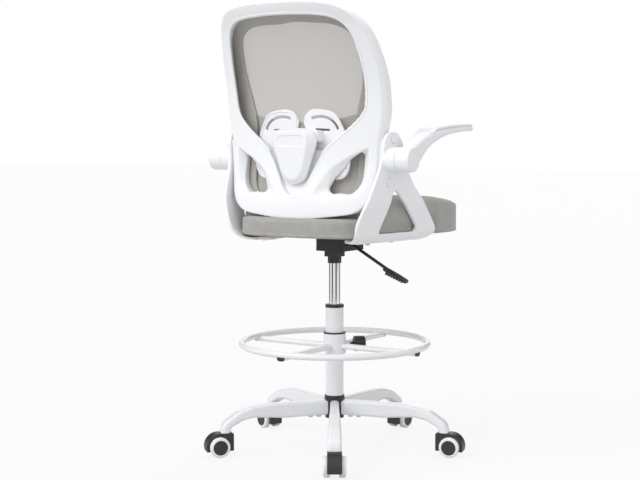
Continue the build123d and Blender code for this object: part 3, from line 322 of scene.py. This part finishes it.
def seat_cloth():
    """Close woven cover: small raised knots, slightly uneven in tone, with a soft sheen."""
    made = Finish("Seat cloth", tuple(colours().seat_cloth), 0.85)
    made.set(Sheen_Weight=0.25, Sheen_Roughness=0.5)
    knots = made.spread(weave(made, sizes().weave_pitch, 1.0, math.radians(38)), 0.0, 1.0)
    made.tree.nodes[-1].inputs["From Min"].default_value = -1.0
    uneven = made.noise(35, 4)
    tone = made.math("ADD", made.math("MULTIPLY", knots, 0.5), made.math("MULTIPLY", uneven, 0.5))
    made.tint(tone, 0.68, 1.3)
    made.bump(knots, 0.00035, 0.8)
    return made.material


def stretched_mesh():
    """Open knitted mesh: rows of small holes between the yarns, and a doubled, closed lower part."""
    made = Finish("Back mesh", tuple(colours().mesh_cloth), 0.8)
    made.set(Sheen_Weight=0.2)
    pitch = sizes().mesh_pitch
    holes = weave(made, pitch, 0.6, 0.0)
    rows = made.math("ABSOLUTE", holes)
    open_share = made.math("MULTIPLY", made.math("SUBTRACT", rows, 0.26, clamp=True), 3.0, clamp=True)
    split = made.node("ShaderNodeSeparateXYZ")
    made.link(made.place(), split.inputs[0])
    rise = made.math("MULTIPLY", made.math("MULTIPLY", split.outputs[0], split.outputs[0]), 0.9)
    above = made.math("SUBTRACT", made.math("SUBTRACT", split.outputs[2], rise),
                      PANEL_TOP - sizes().double_drop)
    single = made.math("MULTIPLY", above, 400.0, clamp=True)
    closed = made.spread(single, 0.0, 1.0)
    open_share = made.math("MULTIPLY", open_share, closed)
    made.link(made.spread(open_share, 1.0, 0.14), made.shader.inputs["Alpha"])
    yarn = made.node("ShaderNodeMix", data_type="RGBA")
    yarn.inputs["A"].default_value = (*[c * 1.3 for c in colours().held_cloth], 1)
    yarn.inputs["B"].default_value = (*colours().mesh_cloth, 1)
    made.link(single, yarn.inputs["Factor"])
    shade = made.node("ShaderNodeMix", data_type="RGBA", blend_type="MULTIPLY")
    shade.inputs["Factor"].default_value = 0.3
    made.link(yarn.outputs["Result"], shade.inputs["A"])
    made.link(rows, shade.inputs["B"])
    made.link(shade.outputs["Result"], made.shader.inputs["Base Color"])
    made.bump(made.spread(rows, 1.0, 0.0), 0.0003, 0.5)
    return made.material


def wrapped_mesh():
    """The same mesh where it is stretched over its frame: closed and darker."""
    made = Finish("Wrapped mesh", tuple(colours().held_cloth), 0.85)
    made.set(Sheen_Weight=0.15)
    rows = made.noise(700, 3, (1.0, 1.0, 1.6))
    made.tint(rows, 0.8, 1.15)
    made.bump(rows, 0.0002, 0.7)
    return made.material


MAKERS = {
    "Powder coat white": lambda: powder_coat("Powder coat white", tuple(colours().white_coat), 0.24),
    "Moulded white": lambda: moulding("Moulded white", tuple(colours().white_shell), 0.42),
    "Arm pad": lambda: moulding("Arm pad", tuple(colours().white_shell), 0.5, 900, 0.00005),
    "Black nylon": lambda: moulding("Black nylon", tuple(colours().black), 0.45, 1100, 0.00005),
    "Black steel": lambda: powder_coat("Black steel", tuple(colours().black), 0.38),
    "Bare steel": lambda: bare_metal("Bare steel", (0.55, 0.55, 0.57), 0.3, (1, 1, 20)),
    "Polished chrome": lambda: bare_metal("Polished chrome", (0.74, 0.74, 0.75), 0.07, (1, 1, 0.05)),
    "Wheel white": lambda: moulding("Wheel white", (0.8, 0.8, 0.81), 0.32),
    "Plywood": plywood,
    "Seat cloth": seat_cloth,
    "Back mesh": stretched_mesh,
    "Wrapped mesh": wrapped_mesh,
}
_made = {}


def finish_named(name):
    """The material of that finish, made once."""
    if name not in _made:
        _made[name] = MAKERS[name]()
    return _made[name]


# ------------------------------------------------------------------ mesh helpers

def new_piece(name, mesh, finish=None):
    piece = bpy.data.objects.new(name, mesh)
    bpy.context.scene.collection.objects.link(piece)
    if finish:
        mesh.materials.clear()
        mesh.materials.append(finish_named(finish))
    return piece


def shade_smooth(mesh):
    mesh.polygons.foreach_set("use_smooth", np.ones(len(mesh.polygons), bool))
    mesh.update()


def evaluated(piece):
    """A new mesh with the piece's modifiers applied."""
    graph = bpy.context.evaluated_depsgraph_get()
    graph.update()
    return bpy.data.meshes.new_from_object(piece.evaluated_get(graph))


def apply_modifiers(piece):
    mesh = evaluated(piece)
    piece.modifiers.clear()
    old, piece.data = piece.data, mesh
    bpy.data.meshes.remove(old)
    return piece


def node_mesh(node):
    """A copy of a CAD node's mesh with its doubled points joined."""
    mesh = NODES[node].data.copy()
    edit = bmesh.new()
    edit.from_mesh(mesh)
    bmesh.ops.remove_doubles(edit, verts=edit.verts, dist=1e-5)
    edit.to_mesh(mesh)
    edit.free()
    return mesh


def softened(name, meshes, grid, rounds, finish):
    """One closed skin around the meshes, on an even grid, with its edges rounded."""
    edit = bmesh.new()
    for mesh in meshes:
        edit.from_mesh(mesh)
    joined = bpy.data.meshes.new(name)
    edit.to_mesh(joined)
    edit.free()
    piece = new_piece(name, joined, finish)
    skin = piece.modifiers.new("Skin", "REMESH")
    skin.mode = "VOXEL"
    skin.voxel_size = grid * 1.0
    skin.use_smooth_shade = True
    if rounds:
        rounding = piece.modifiers.new("Rounding", "SMOOTH")
        rounding.factor = 0.5
        rounding.iterations = rounds
    apply_modifiers(piece)
    piece.data.materials.clear()
    piece.data.materials.append(finish_named(finish))
    shade_smooth(piece.data)
    return piece


def grow(piece, amount):
    """Moves the piece's surface out along its normals."""
    for vertex, normal in [(v, v.normal.copy()) for v in piece.data.vertices]:
        vertex.co += normal * amount
    piece.data.update()


def thin_end(piece, length, least=0.12, sink=0.0022, step=0.002):
    """Thins the piece down towards its rear end, so that it runs out flush on what it lies on."""
    vertices = piece.data.vertices
    rear = max(v.co.y for v in vertices)
    floor = {}
    for vertex in vertices:
        key = round(vertex.co.y / step)
        floor[key] = min(floor.get(key, 9.0), vertex.co.z)
    for vertex in vertices:
        share = min(1.0, (rear - vertex.co.y) / length)
        eased = least + (1 - least) * share * share * (3 - 2 * share)
        base = floor[round(vertex.co.y / step)]
        vertex.co.z = base + (vertex.co.z - base) * eased - sink * (1 - eased)
    piece.data.update()


def mirrored_piece(piece, name):
    """The same piece on the other side of the chair."""
    mesh = piece.data.copy()
    mesh.transform(Matrix.Scale(-1, 4, Vector((1, 0, 0))))
    mesh.flip_normals()
    return new_piece(name, mesh)


def stand_for(piece, node, body):
    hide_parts(node)
    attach(piece, body)
    return piece


def from_behind(tree, x, z):
    """Where a straight look from behind the chair at that place meets the surface, or None."""
    return tree.ray_cast(Vector((x, 1.0, z)), Vector((0, -1, 0)))[0]


def tree_of(mesh):
    edit = bmesh.new()
    edit.from_mesh(mesh)
    tree = BVHTree.FromBMesh(edit)
    edit.free()
    return tree


def opening_radius(tree, centre, angle, step=0.002, ledge=0.006):
    """How far the opening's edge is from its centre that way: the first solid, or the step up behind it."""
    across, up = math.cos(angle), math.sin(angle)
    found, last = None, None
    for k in range(10, 150):
        hit = from_behind(tree, centre[0] + across * k * step, centre[1] + up * k * step)
        if hit is None:
            if found is not None:
                break
            continue
        if found is None or hit.y - last > ledge:
            found, skin = k * step, hit.y
        last = hit.y
    inside, outside = found - step, found
    for _ in range(6):
        middle = (inside + outside) / 2
        hit = from_behind(tree, centre[0] + across * middle, centre[1] + up * middle)
        if hit is not None and hit.y > skin - ledge / 2:
            outside = middle
        else:
            inside = middle
    return outside


def opening_edge(tree, centre, count=240):
    """Closed line along the rear edge of the opening around that centre, as places across and up."""
    turns = [2 * math.pi * k / count for k in range(count)]
    radii = [opening_radius(tree, centre, turn) for turn in turns]
    for _ in range(2):
        radii = [(radii[k - 1] + 2 * radii[k] + radii[(k + 1) % count]) / 4 for k in range(count)]
    return [Vector((centre[0] + r * math.cos(t), 0, centre[1] + r * math.sin(t)))
            for r, t in zip(radii, turns)]


def footing(tree, start, out, distance, step):
    """The surface at that distance beside start, or a few steps on where there is none."""
    for _ in range(12):
        hit = from_behind(tree, *(start + out * distance).xz)
        if hit is not None:
            return hit
        distance += step
    raise RuntimeError(f"no surface beside {tuple(start)}")


def bead_mesh(name, tree, line, near, far, height, closed=True, steps=8):
    """A rounded lip that lies on the surface along a line, from near to far beside it."""
    edit = bmesh.new()
    rings = []
    total = len(line)
    turning = sum(a.x * b.z - a.z * b.x for a, b in zip(line, line[1:] + line[:1]))
    side = 1 if turning > 0 else -1
    for k in range(total):
        before = line[k - 1] if closed or k else line[k]
        after = line[(k + 1) % total] if closed or k < total - 1 else line[k]
        along = (after - before).normalized()
        out = Vector((along.z, 0, -along.x)) * side
        first, last = (footing(tree, line[k], out, d, math.copysign(0.0006, near)) for d in (near, far))
        normal = (last - first).cross(along).normalized()
        if normal.y < 0:
            normal.negate()
        ring = []
        for j in range(steps + 1):
            share = j / steps
            lift = height * math.sin(math.pi * share) ** 0.6 if 0 < j < steps else 0.0
            ring.append(edit.verts.new(first.lerp(last, share) + normal * lift))
        ring.append(edit.verts.new(first.lerp(last, 0.5) - normal * 0.0015))
        rings.append(ring)
    for a, b in zip(rings, rings[1:] + rings[:1] if closed else rings[1:]):
        for j in range(len(a)):
            following = (j + 1) % len(a)
            edit.faces.new((a[j], a[following], b[following], b[j]))
    if not closed:
        edit.faces.new(rings[0])
        edit.faces.new(rings[-1])
    bmesh.ops.recalc_face_normals(edit, faces=edit.faces)
    mesh = bpy.data.meshes.new(name)
    edit.to_mesh(mesh)
    edit.free()
    return mesh


def add_to(piece, *meshes):
    """Adds the meshes to the piece's own mesh."""
    edit = bmesh.new()
    edit.from_mesh(piece.data)
    for mesh in meshes:
        edit.from_mesh(mesh)
        bpy.data.meshes.remove(mesh)
    for face in edit.faces:
        face.smooth = True
        face.material_index = 0
    edit.to_mesh(piece.data)
    edit.free()


def curve_through(points, closed=False, count=12):
    """Points of a smooth curve through the given ones (Catmull-Rom)."""
    found = []
    total = len(points)
    spans = total if closed else total - 1
    for k in range(spans):
        if closed:
            a, b, c, d = (Vector(points[(k + j) % total]) for j in (-1, 0, 1, 2))
        else:
            a, b, c, d = (Vector(points[min(max(k + j, 0), total - 1)]) for j in (-1, 0, 1, 2))
        for step in range(count):
            t = step / count
            found.append(0.5 * (2 * b + (c - a) * t + (2 * a - 5 * b + 4 * c - d) * t ** 2
                                + (3 * b - a - 3 * c + d) * t ** 3))
    if not closed:
        found.append(Vector(points[-1]))
    return found


def ring_mesh(name, centre, outer, inner, x0, x1, sides=96):
    """A flat ring about an axis along X."""
    edit = bmesh.new()
    loops = []
    for radius, x in ((outer, x0), (outer, x1), (inner, x1), (inner, x0)):
        loop = []
        for k in range(sides):
            angle = 2 * math.pi * k / sides
            loop.append(edit.verts.new((x, centre[0] + radius * math.cos(angle),
                                        centre[1] + radius * math.sin(angle))))
        loops.append(loop)
    for a, b in zip(loops, loops[1:] + loops[:1]):
        for k in range(sides):
            edit.faces.new((a[k], a[(k + 1) % sides], b[(k + 1) % sides], b[k]))
    bmesh.ops.recalc_face_normals(edit, faces=edit.faces)
    mesh = bpy.data.meshes.new(name)
    edit.to_mesh(mesh)
    edit.free()
    return mesh


def cut_away(piece, tool_mesh):
    """Cuts the tool's shape out of the piece."""
    tool = bpy.data.objects.new("cutter", tool_mesh)
    bpy.context.scene.collection.objects.link(tool)
    cut = piece.modifiers.new("Cut", "BOOLEAN")
    cut.operation = "DIFFERENCE"
    cut.solver = "EXACT"
    cut.object = tool
    apply_modifiers(piece)
    bpy.data.objects.remove(tool)
    bpy.data.meshes.remove(tool_mesh)
    shade_smooth(piece.data)


def cloth_layout(mesh):
    """Cloth coordinates in metres, laid on from the side that each face looks to."""
    layer = mesh.uv_layers.get("Cloth") or mesh.uv_layers.new(name="Cloth")
    for face in mesh.polygons:
        normal = face.normal
        size = [abs(v) for v in normal]
        axis = size.index(max(size))
        pick = ((1, 2), (0, 2), (0, 1))[axis]
        for loop in face.loop_indices:
            place = mesh.vertices[mesh.loops[loop].vertex_index].co
            layer.data[loop].uv = (place[pick[0]], place[pick[1]])


# ------------------------------------------------------------------ operators

def slot_mesh(tree, side, radius=0.0024, sides=24):
    """A bar with round ends that cuts the short slot through the plate."""
    edit = bmesh.new()
    (x0, z0), (x1, z1) = LOWER_SLOT
    loop = []
    for k in range(sides):
        turn = math.pi / 2 + 2 * math.pi * (k + 0.5) / sides
        x, z = (x0, z0) if math.cos(turn) < 0 else (x1, z1)
        loop.append((side * (x + radius * math.cos(turn)), z + radius * math.sin(turn)))
    middle = from_behind(tree, side * (x0 + x1) / 2, (z0 + z1) / 2).y
    front = [edit.verts.new((x, middle - 0.012, z)) for x, z in loop]
    back = [edit.verts.new((x, middle + 0.006, z)) for x, z in loop]
    edit.faces.new(front)
    edit.faces.new(back[::-1])
    for k in range(sides):
        following = (k + 1) % sides
        edit.faces.new((front[k], back[k], back[following], front[following]))
    bmesh.ops.recalc_face_normals(edit, faces=edit.faces)
    mesh = bpy.data.meshes.new("slot")
    edit.to_mesh(mesh)
    edit.free()
    return mesh


class ChairOperator:
    bl_options = {"REGISTER", "UNDO"}


class CHAIR_OT_kept_nodes(ChairOperator, bpy.types.Operator):
    """Give the nodes that keep their own mesh their finishes"""
    bl_idname = "chair.kept_nodes"
    bl_label = "Finish the metal and nylon parts"

    def execute(self, context):
        for finish, names in KEPT_NODES.items():
            for name in names:
                mesh = NODES[name].data
                mesh.materials.clear()
                mesh.materials.append(finish_named(finish))
        return {"FINISHED"}


class CHAIR_OT_wheels(ChairOperator, bpy.types.Operator):
    """Paint the caster wheels: a white tyre round a black disc"""
    bl_idname = "chair.wheels"
    bl_label = "Finish the caster wheels"

    def execute(self, context):
        joints = {j["child"]: j for j in frame["joints"]}
        bodies = frame["record"]["behaviour"]["bodies"]
        where = {node: body for body, names in bodies.items() for node in names}
        for name in WHEELS:
            mesh = NODES[name].data
            joint = joints[where[name]]
            centre, axis = Vector(joint["pos_m"]), Vector(joint["axis"]).normalized()
            mesh.materials.clear()
            mesh.materials.append(finish_named("Wheel white"))
            mesh.materials.append(finish_named("Black nylon"))
            for face in mesh.polygons:
                corners = [mesh.vertices[v].co - centre for v in face.vertices]
                far = max((c - axis * c.dot(axis)).length for c in corners)
                face.material_index = 1 if far < WHEEL_DISC_RADIUS else 0
        return {"FINISHED"}


class CHAIR_OT_back_frame(ChairOperator, bpy.types.Operator):
    """Build the white shell of the back with its rounded rims"""
    bl_idname = "chair.back_frame"
    bl_label = "Build the back frame"

    def execute(self, context):
        piece = softened("back_shell", [node_mesh("back_frame")], sizes().shell_grid * 1.15,
                         sizes().shell_rounding, "Moulded white")
        tree = tree_of(piece.data)
        low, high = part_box("back_frame")
        edge = opening_edge(tree, (0.0, low.z + OPENING_MIDDLE_SHARE * (high.z - low.z)))
        add_to(piece, bead_mesh("opening_lip", tree, edge, LIP_START, sizes().lip_width, LIP_HEIGHT))
        stand_for(piece, "back_frame", "seat")
        return {"FINISHED"}


class CHAIR_OT_brackets(ChairOperator, bpy.types.Operator):
    """Build the A-shaped arm brackets"""
    bl_idname = "chair.brackets"
    bl_label = "Build the arm brackets"

    def execute(self, context):
        left = softened("bracket_shell_left", [node_mesh("arm_bracket_left")], sizes().shell_grid * 0.85,
                        sizes().shell_rounding // 2, "Moulded white")
        stand_for(left, "arm_bracket_left", "seat")
        right = mirrored_piece(left, "bracket_shell_right")
        stand_for(right, "arm_bracket_right", "seat")
        return {"FINISHED"}


class CHAIR_OT_arms(ChairOperator, bpy.types.Operator):
    """Build the flip-up arms and their pads"""
    bl_idname = "chair.arms"
    bl_label = "Build the arms"

    def execute(self, context):
        joint = {j["name"]: j for j in frame["joints"]}["arm_left_flip"]
        pivot = joint["pos_m"][1:]
        face_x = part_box("arm_left")[1].x
        left = softened("arm_shell_left", [node_mesh("arm_left")], sizes().shell_grid * 0.85,
                        sizes().shell_rounding, "Moulded white")
        cut_away(left, ring_mesh("groove", pivot, *HUB_GROOVE_RADII, face_x - HUB_GROOVE_DEPTH,
                                 face_x + 0.002))
        stand_for(left, "arm_left", "arm_left")
        right = mirrored_piece(left, "arm_shell_right")
        stand_for(right, "arm_right", "arm_right")
        pad = softened("pad_left", [node_mesh("arm_pad_left")], sizes().shell_grid * 0.6, 1, "Arm pad")
        grow(pad, PAD_GROWTH)
        thin_end(pad, PAD_RUN_OUT)
        stand_for(pad, "arm_pad_left", "arm_left")
        other = mirrored_piece(pad, "pad_right")
        stand_for(other, "arm_pad_right", "arm_right")
        return {"FINISHED"}


class CHAIR_OT_lumbar(ChairOperator, bpy.types.Operator):
    """Build the lumbar plate and its sliding cover"""
    bl_idname = "chair.lumbar"
    bl_label = "Build the lumbar support"

    def execute(self, context):
        plate = softened("lumbar_plate", [node_mesh("lumbar_support")], sizes().shell_grid * 0.7,
                         3, "Moulded white")
        tree = tree_of(plate.data)
        beads = []
        for outline in (UPPER_LOBE, LOWER_LOBE):
            for side in (1, -1):
                line = curve_through([(side * x, 0, z) for x, z in outline])
                beads.append(bead_mesh("lobe_rim", tree, line, *RIM_SPAN, RIM_HEIGHT, closed=False))
        add_to(plate, *beads)
        for side in (1, -1):
            cut_away(plate, slot_mesh(tree, side))
        stand_for(plate, "lumbar_support", "lumbar")
        cover = softened("slide_cover", [node_mesh("spine_cover")], sizes().shell_grid * 0.5,
                         4, "Moulded white")
        stand_for(cover, "spine_cover", "lumbar")
        return {"FINISHED"}


def sheet_terms(x, z):
    """Terms of a smooth, symmetrical surface over the back: powers of height, flat or bowed across."""
    up, across = (z - PANEL_MIDDLE) * 4, x * 5
    return [up ** n * across ** m for n in range(6) for m in (0, 2, 4)]


def fitted_sheet(points):
    """The smooth surface nearest to the points."""
    rows = np.array([sheet_terms(p.x, p.z) for p in points])
    return np.linalg.lstsq(rows, np.array([p.y for p in points]), rcond=None)[0]


def sheet_depth(terms, x, z):
    return float(np.dot(sheet_terms(x, z), terms))


class CHAIR_OT_mesh(ChairOperator, bpy.types.Operator):
    """Stretch the mesh in its frame"""
    bl_idname = "chair.mesh"
    bl_label = "Build the back mesh"

    def execute(self, context):
        ring = softened("mesh_ring", [node_mesh("mesh_frame")], sizes().shell_grid, 5, "Wrapped mesh")
        stand_for(ring, "mesh_frame", "seat")
        source = node_mesh("mesh_panel")
        tree = tree_of(source)
        bpy.data.meshes.remove(source)
        low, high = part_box("mesh_panel")
        step = sizes().mesh_step
        hold = sizes().mesh_hold
        places = [(low.x - hold + step * i, low.z - hold + step * k)
                  for i in range(int((high.x - low.x + 2 * hold) / step) + 2)
                  for k in range(int((high.z - low.z + 2 * hold) / step) + 2)]
        seen = {place: from_behind(tree, *place) for place in places}
        terms = fitted_sheet([hit for hit in seen.values() if hit is not None])
        sheet = bmesh.new()
        corners = {}
        rows = int((high.z - low.z + 2 * hold) / step) + 2
        for number, (x, z) in enumerate(places):
            around = [(x + hold * math.cos(t), z + hold * math.sin(t)) for t in np.arange(8) * math.pi / 4]
            if seen[x, z] is not None or any(from_behind(tree, *place) is not None for place in around):
                corners[divmod(number, rows)] = sheet.verts.new((x, sheet_depth(terms, x, z) - 0.0008, z))
        for (i, k), corner in corners.items():
            others = [corners.get(key) for key in ((i + 1, k), (i + 1, k + 1), (i, k + 1))]
            if None not in others:
                sheet.faces.new((corner, *others))
        bmesh.ops.delete(sheet, geom=[v for v in sheet.verts if not v.link_faces], context="VERTS")
        mesh = bpy.data.meshes.new("mesh_sheet")
        sheet.to_mesh(mesh)
        sheet.free()
        shade_smooth(mesh)
        cloth_layout(mesh)
        piece = new_piece("mesh_sheet", mesh, "Back mesh")
        stand_for(piece, "mesh_panel", "seat")
        return {"FINISHED"}


def coordinates(mesh):
    places = np.empty(len(mesh.vertices) * 3)
    mesh.vertices.foreach_get("co", places)
    return places.reshape(-1, 3)


def swell(piece, reach, start=0.0015, frames=20):
    """Runs the cover as cloth under pressure. No point ends further than reach from where it was."""
    mesh = piece.data
    at_rest = coordinates(mesh)
    normals = np.array([v.normal for v in mesh.vertices])
    mesh.vertices.foreach_set("co", (at_rest - normals * start).ravel())
    mesh.update()
    cloth = piece.modifiers.new("Cloth", "CLOTH")
    cloth.settings.quality = 6
    cloth.settings.use_pressure = True
    cloth.settings.uniform_pressure_force = 4.0
    cloth.settings.effector_weights.gravity = 0.0
    cloth.settings.tension_stiffness = 12.0
    cloth.settings.bending_stiffness = 0.4
    cloth.point_cache.frame_start = 1
    cloth.point_cache.frame_end = frames
    scene = bpy.context.scene
    for number in range(1, frames + 1):
        scene.frame_set(number)
    swollen = evaluated(piece)
    moved = coordinates(swollen) - at_rest
    bpy.data.meshes.remove(swollen)
    piece.modifiers.clear()
    scene.frame_set(1)
    length = np.linalg.norm(moved, axis=1, keepdims=True)
    moved *= np.minimum(1.0, reach / np.maximum(length, 1e-9))
    resting = normals[:, 2] < -0.4
    moved[resting] = 0.0
    mesh.vertices.foreach_set("co", (at_rest + moved).ravel())
    mesh.update()


class CHAIR_OT_cushion(ChairOperator, bpy.types.Operator):
    """Upholster the seat"""
    bl_idname = "chair.cushion"
    bl_label = "Build the seat cushion"

    def execute(self, context):
        piece = softened("seat_cover", [node_mesh("seat_cushion")], sizes().cushion_grid, 3, "Seat cloth")
        swell(piece, sizes().cushion_swell)
        finer = piece.modifiers.new("Finer", "SUBSURF")
        finer.levels = finer.render_levels = 1
        apply_modifiers(piece)
        shade_smooth(piece.data)
        cloth_layout(piece.data)
        stand_for(piece, "seat_cushion", "seat")
        return {"FINISHED"}


def notched_bar(name, start, end, width=0.015, drop=0.0085, notches=7):
    """A bar under a line from start to end, with square notches across its lower side."""
    along = end - start
    below = Vector((along.z, 0, -along.x)).normalized()
    if below.z > 0:
        below.negate()
    edit = bmesh.new()
    profile = [(0.0, 0.0)]
    for k in range(notches):
        low, high = (k + 0.15) / notches, (k + 0.62) / notches
        profile += [(low, 0.55), (low, 1.0), (high, 1.0), (high, 0.55)]
    profile += [(1.0, 0.55), (1.0, 0.0)]
    sides = []
    for y in (-width / 2, width / 2):
        sides.append([edit.verts.new(start + along * share + below * (drop * depth) + Vector((0, y, 0)))
                      for share, depth in profile])
    for k in range(len(profile)):
        following = (k + 1) % len(profile)
        edit.faces.new((sides[0][k], sides[0][following], sides[1][following], sides[1][k]))
    edit.faces.new(sides[0])
    edit.faces.new(sides[1][::-1])
    bmesh.ops.recalc_face_normals(edit, faces=edit.faces)
    mesh = bpy.data.meshes.new(name)
    edit.to_mesh(mesh)
    edit.free()
    return mesh


class CHAIR_OT_lever(ChairOperator, bpy.types.Operator):
    """Build the height lever's grip"""
    bl_idname = "chair.lever"
    bl_label = "Build the lever's grip"

    def execute(self, context):
        source = node_mesh("lever_handle")
        places = coordinates(source)
        bpy.data.meshes.remove(source)
        inner, outer = places[:, 0].max(), places[:, 0].min()
        start, end = (Vector(places[abs(places[:, 0] - x) < 0.004].mean(axis=0)) for x in (inner, outer))
        facet = notched_bar("grip_facet", start.lerp(end, 0.12), start.lerp(end, 0.93))
        piece = softened("lever_grip", [node_mesh("lever_handle"), facet], sizes().shell_grid * 0.4, 1,
                         "Black nylon")
        stand_for(piece, "lever_handle", "height_lever")
        return {"FINISHED"}


class CHAIR_OT_stage(ChairOperator, bpy.types.Operator):
    """Set up the floor, the lamps, the world and the camera"""
    bl_idname = "chair.stage"
    bl_label = "Set up the stage"

    def execute(self, context):
        stage = context.scene.chair_stage
        context.scene.view_settings.view_transform = "Standard"
        self.floor()
        self.world(stage.world_level)
        self.lamps(stage.lamp_level)
        self.cards()
        self.camera(stage)
        return {"FINISHED"}

    def floor(self):
        """A pale floor that looks white and keeps the chair's shadow."""
        mesh = bpy.data.meshes.new("floor")
        half = 30.0
        mesh.from_pydata([(-half, -half, 0), (half, -half, 0), (half, half, 0), (-half, half, 0)], [],
                         [(0, 1, 2, 3)])
        finish = Finish("Studio floor", (0.62, 0.62, 0.62), 0.8)
        glow = finish.node("ShaderNodeEmission")
        glow.inputs["Strength"].default_value = 1.02
        mix = finish.node("ShaderNodeMixShader")
        seen = finish.math("MULTIPLY", self.seen_directly(finish.tree), 0.83)
        finish.link(seen, mix.inputs[0])
        finish.link(finish.shader.outputs[0], mix.inputs[1])
        finish.link(glow.outputs[0], mix.inputs[2])
        finish.link(mix.outputs[0], finish.tree.nodes["Material Output"].inputs["Surface"])
        floor = new_piece("studio_floor", mesh)
        mesh.materials.append(finish.material)

    def seen_directly(self, tree):
        """1 for the rays that show a background: camera, glossy and transmission rays."""
        rays = tree.nodes.new("ShaderNodeLightPath")
        total = rays.outputs["Is Camera Ray"]
        for name in ("Is Glossy Ray", "Is Transmission Ray"):
            either = tree.nodes.new("ShaderNodeMath")
            either.operation = "MAXIMUM"
            tree.links.new(total, either.inputs[0])
            tree.links.new(rays.outputs[name], either.inputs[1])
            total = either.outputs[0]
        return total

    def world(self, level):
        world = bpy.data.worlds.new("Studio")
        bpy.context.scene.world = world
        world.use_nodes = True
        tree = world.node_tree
        back = tree.nodes["Background"]
        back.inputs["Color"].default_value = (0.97, 0.985, 1.0, 1)
        back.inputs["Strength"].default_value = level
        white = tree.nodes.new("ShaderNodeBackground")
        white.inputs["Color"].default_value = (1, 1, 1, 1)
        white.inputs["Strength"].default_value = 1.0
        mix = tree.nodes.new("ShaderNodeMixShader")
        tree.links.new(self.seen_directly(tree), mix.inputs[0])
        tree.links.new(back.outputs[0], mix.inputs[1])
        tree.links.new(white.outputs[0], mix.inputs[2])
        tree.links.new(mix.outputs[0], tree.nodes["World Output"].inputs["Surface"])

    def lamps(self, level):
        """Wide, soft lamps far away, so that their light is even over the whole floor."""
        for name, place, spread, strength in (
                ("key_lamp", (1.2, 2.6, 2.3), 50, 1.42),
                ("side_lamp", (-3.2, 1.4, 1.6), 60, 0.35),
                ("front_lamp", (0.4, -3.0, 2.0), 60, 0.5)):
            data = bpy.data.lights.new(name, "SUN")
            data.angle = math.radians(spread)
            data.energy = strength * level
            lamp = bpy.data.objects.new(name, data)
            bpy.context.scene.collection.objects.link(lamp)
            lamp.location = place
            lamp.rotation_euler = (-Vector(place)).to_track_quat("-Z", "Y").to_euler()

    def cards(self):
        """Dark cards round the chair, seen only in shiny surfaces, that give chrome its streaks."""
        for number, (start, end, tone) in enumerate(((-44, -18, 0.02), (35, 60, 0.04), (112, 158, 0.12),
                                                     (202, 246, 0.06))):
            corners = []
            for k in range(9):
                turn = math.radians(57.6 + start + (end - start) * k / 8)
                corners.append((2.6 * math.cos(math.pi - turn), 2.6 * math.sin(math.pi - turn)))
            mesh = bpy.data.meshes.new(f"studio_card_{number + 1}")
            points = [(x, y, z) for x, y in corners for z in (0.05, 2.4)]
            mesh.from_pydata(points, [], [(2 * k, 2 * k + 2, 2 * k + 3, 2 * k + 1) for k in range(8)])
            card = new_piece(f"studio_card_{number + 1}", mesh)
            mesh.materials.append(Finish(f"Card {number + 1}", (tone, tone, tone), 1.0).material)
            card.visible_camera = False
            card.visible_diffuse = False
            card.visible_shadow = False
            card.visible_transmission = False
            card.visible_volume_scatter = False

    def camera(self, stage):
        data = bpy.data.cameras.new("view_camera")
        data.sensor_width = 36.0
        data.lens = stage.lens
        data.shift_x = stage.shift
        camera = bpy.data.objects.new("view_camera", data)
        bpy.context.scene.collection.objects.link(camera)
        place = Vector(stage.camera_place)
        camera.location = place
        flat = Vector((-place.x, -place.y, 0)).normalized()
        look = flat * math.cos(stage.camera_tilt) - Vector((0, 0, math.sin(stage.camera_tilt)))
        camera.rotation_euler = look.to_track_quat("-Z", "Y").to_euler()
        bpy.context.scene.camera = camera


OPERATORS = (CHAIR_OT_kept_nodes, CHAIR_OT_wheels, CHAIR_OT_back_frame, CHAIR_OT_brackets, CHAIR_OT_arms,
             CHAIR_OT_lumbar, CHAIR_OT_mesh, CHAIR_OT_cushion, CHAIR_OT_lever, CHAIR_OT_stage)


class CHAIR_PT_panel(bpy.types.Panel):
    """The chair's pieces in the sidebar"""
    bl_idname = "CHAIR_PT_panel"
    bl_label = "Drafting Chair"
    bl_space_type = "VIEW_3D"
    bl_region_type = "UI"
    bl_category = "Chair"

    def draw(self, context):
        column = self.layout.column(align=True)
        for operator in OPERATORS:
            column.operator(operator.bl_idname)
        for group in (context.scene.chair_colours, context.scene.chair_sizes, context.scene.chair_stage):
            box = self.layout.box()
            for key in group.bl_rna.properties.keys():
                if key not in ("rna_type", "name"):
                    box.prop(group, key)


CLASSES = (ChairColours, ChairSizes, ChairStage, *OPERATORS, CHAIR_PT_panel)


def register():
    for made in CLASSES:
        bpy.utils.register_class(made)
    bpy.types.Scene.chair_colours = bpy.props.PointerProperty(type=ChairColours)
    bpy.types.Scene.chair_sizes = bpy.props.PointerProperty(type=ChairSizes)
    bpy.types.Scene.chair_stage = bpy.props.PointerProperty(type=ChairStage)


def unregister():
    del bpy.types.Scene.chair_stage
    del bpy.types.Scene.chair_sizes
    del bpy.types.Scene.chair_colours
    for made in reversed(CLASSES):
        bpy.utils.unregister_class(made)


def main():
    register()
    for operator in OPERATORS:
        family, name = operator.bl_idname.split(".")
        getattr(getattr(bpy.ops, family), name)()


if __name__ == "__main__":
    main()
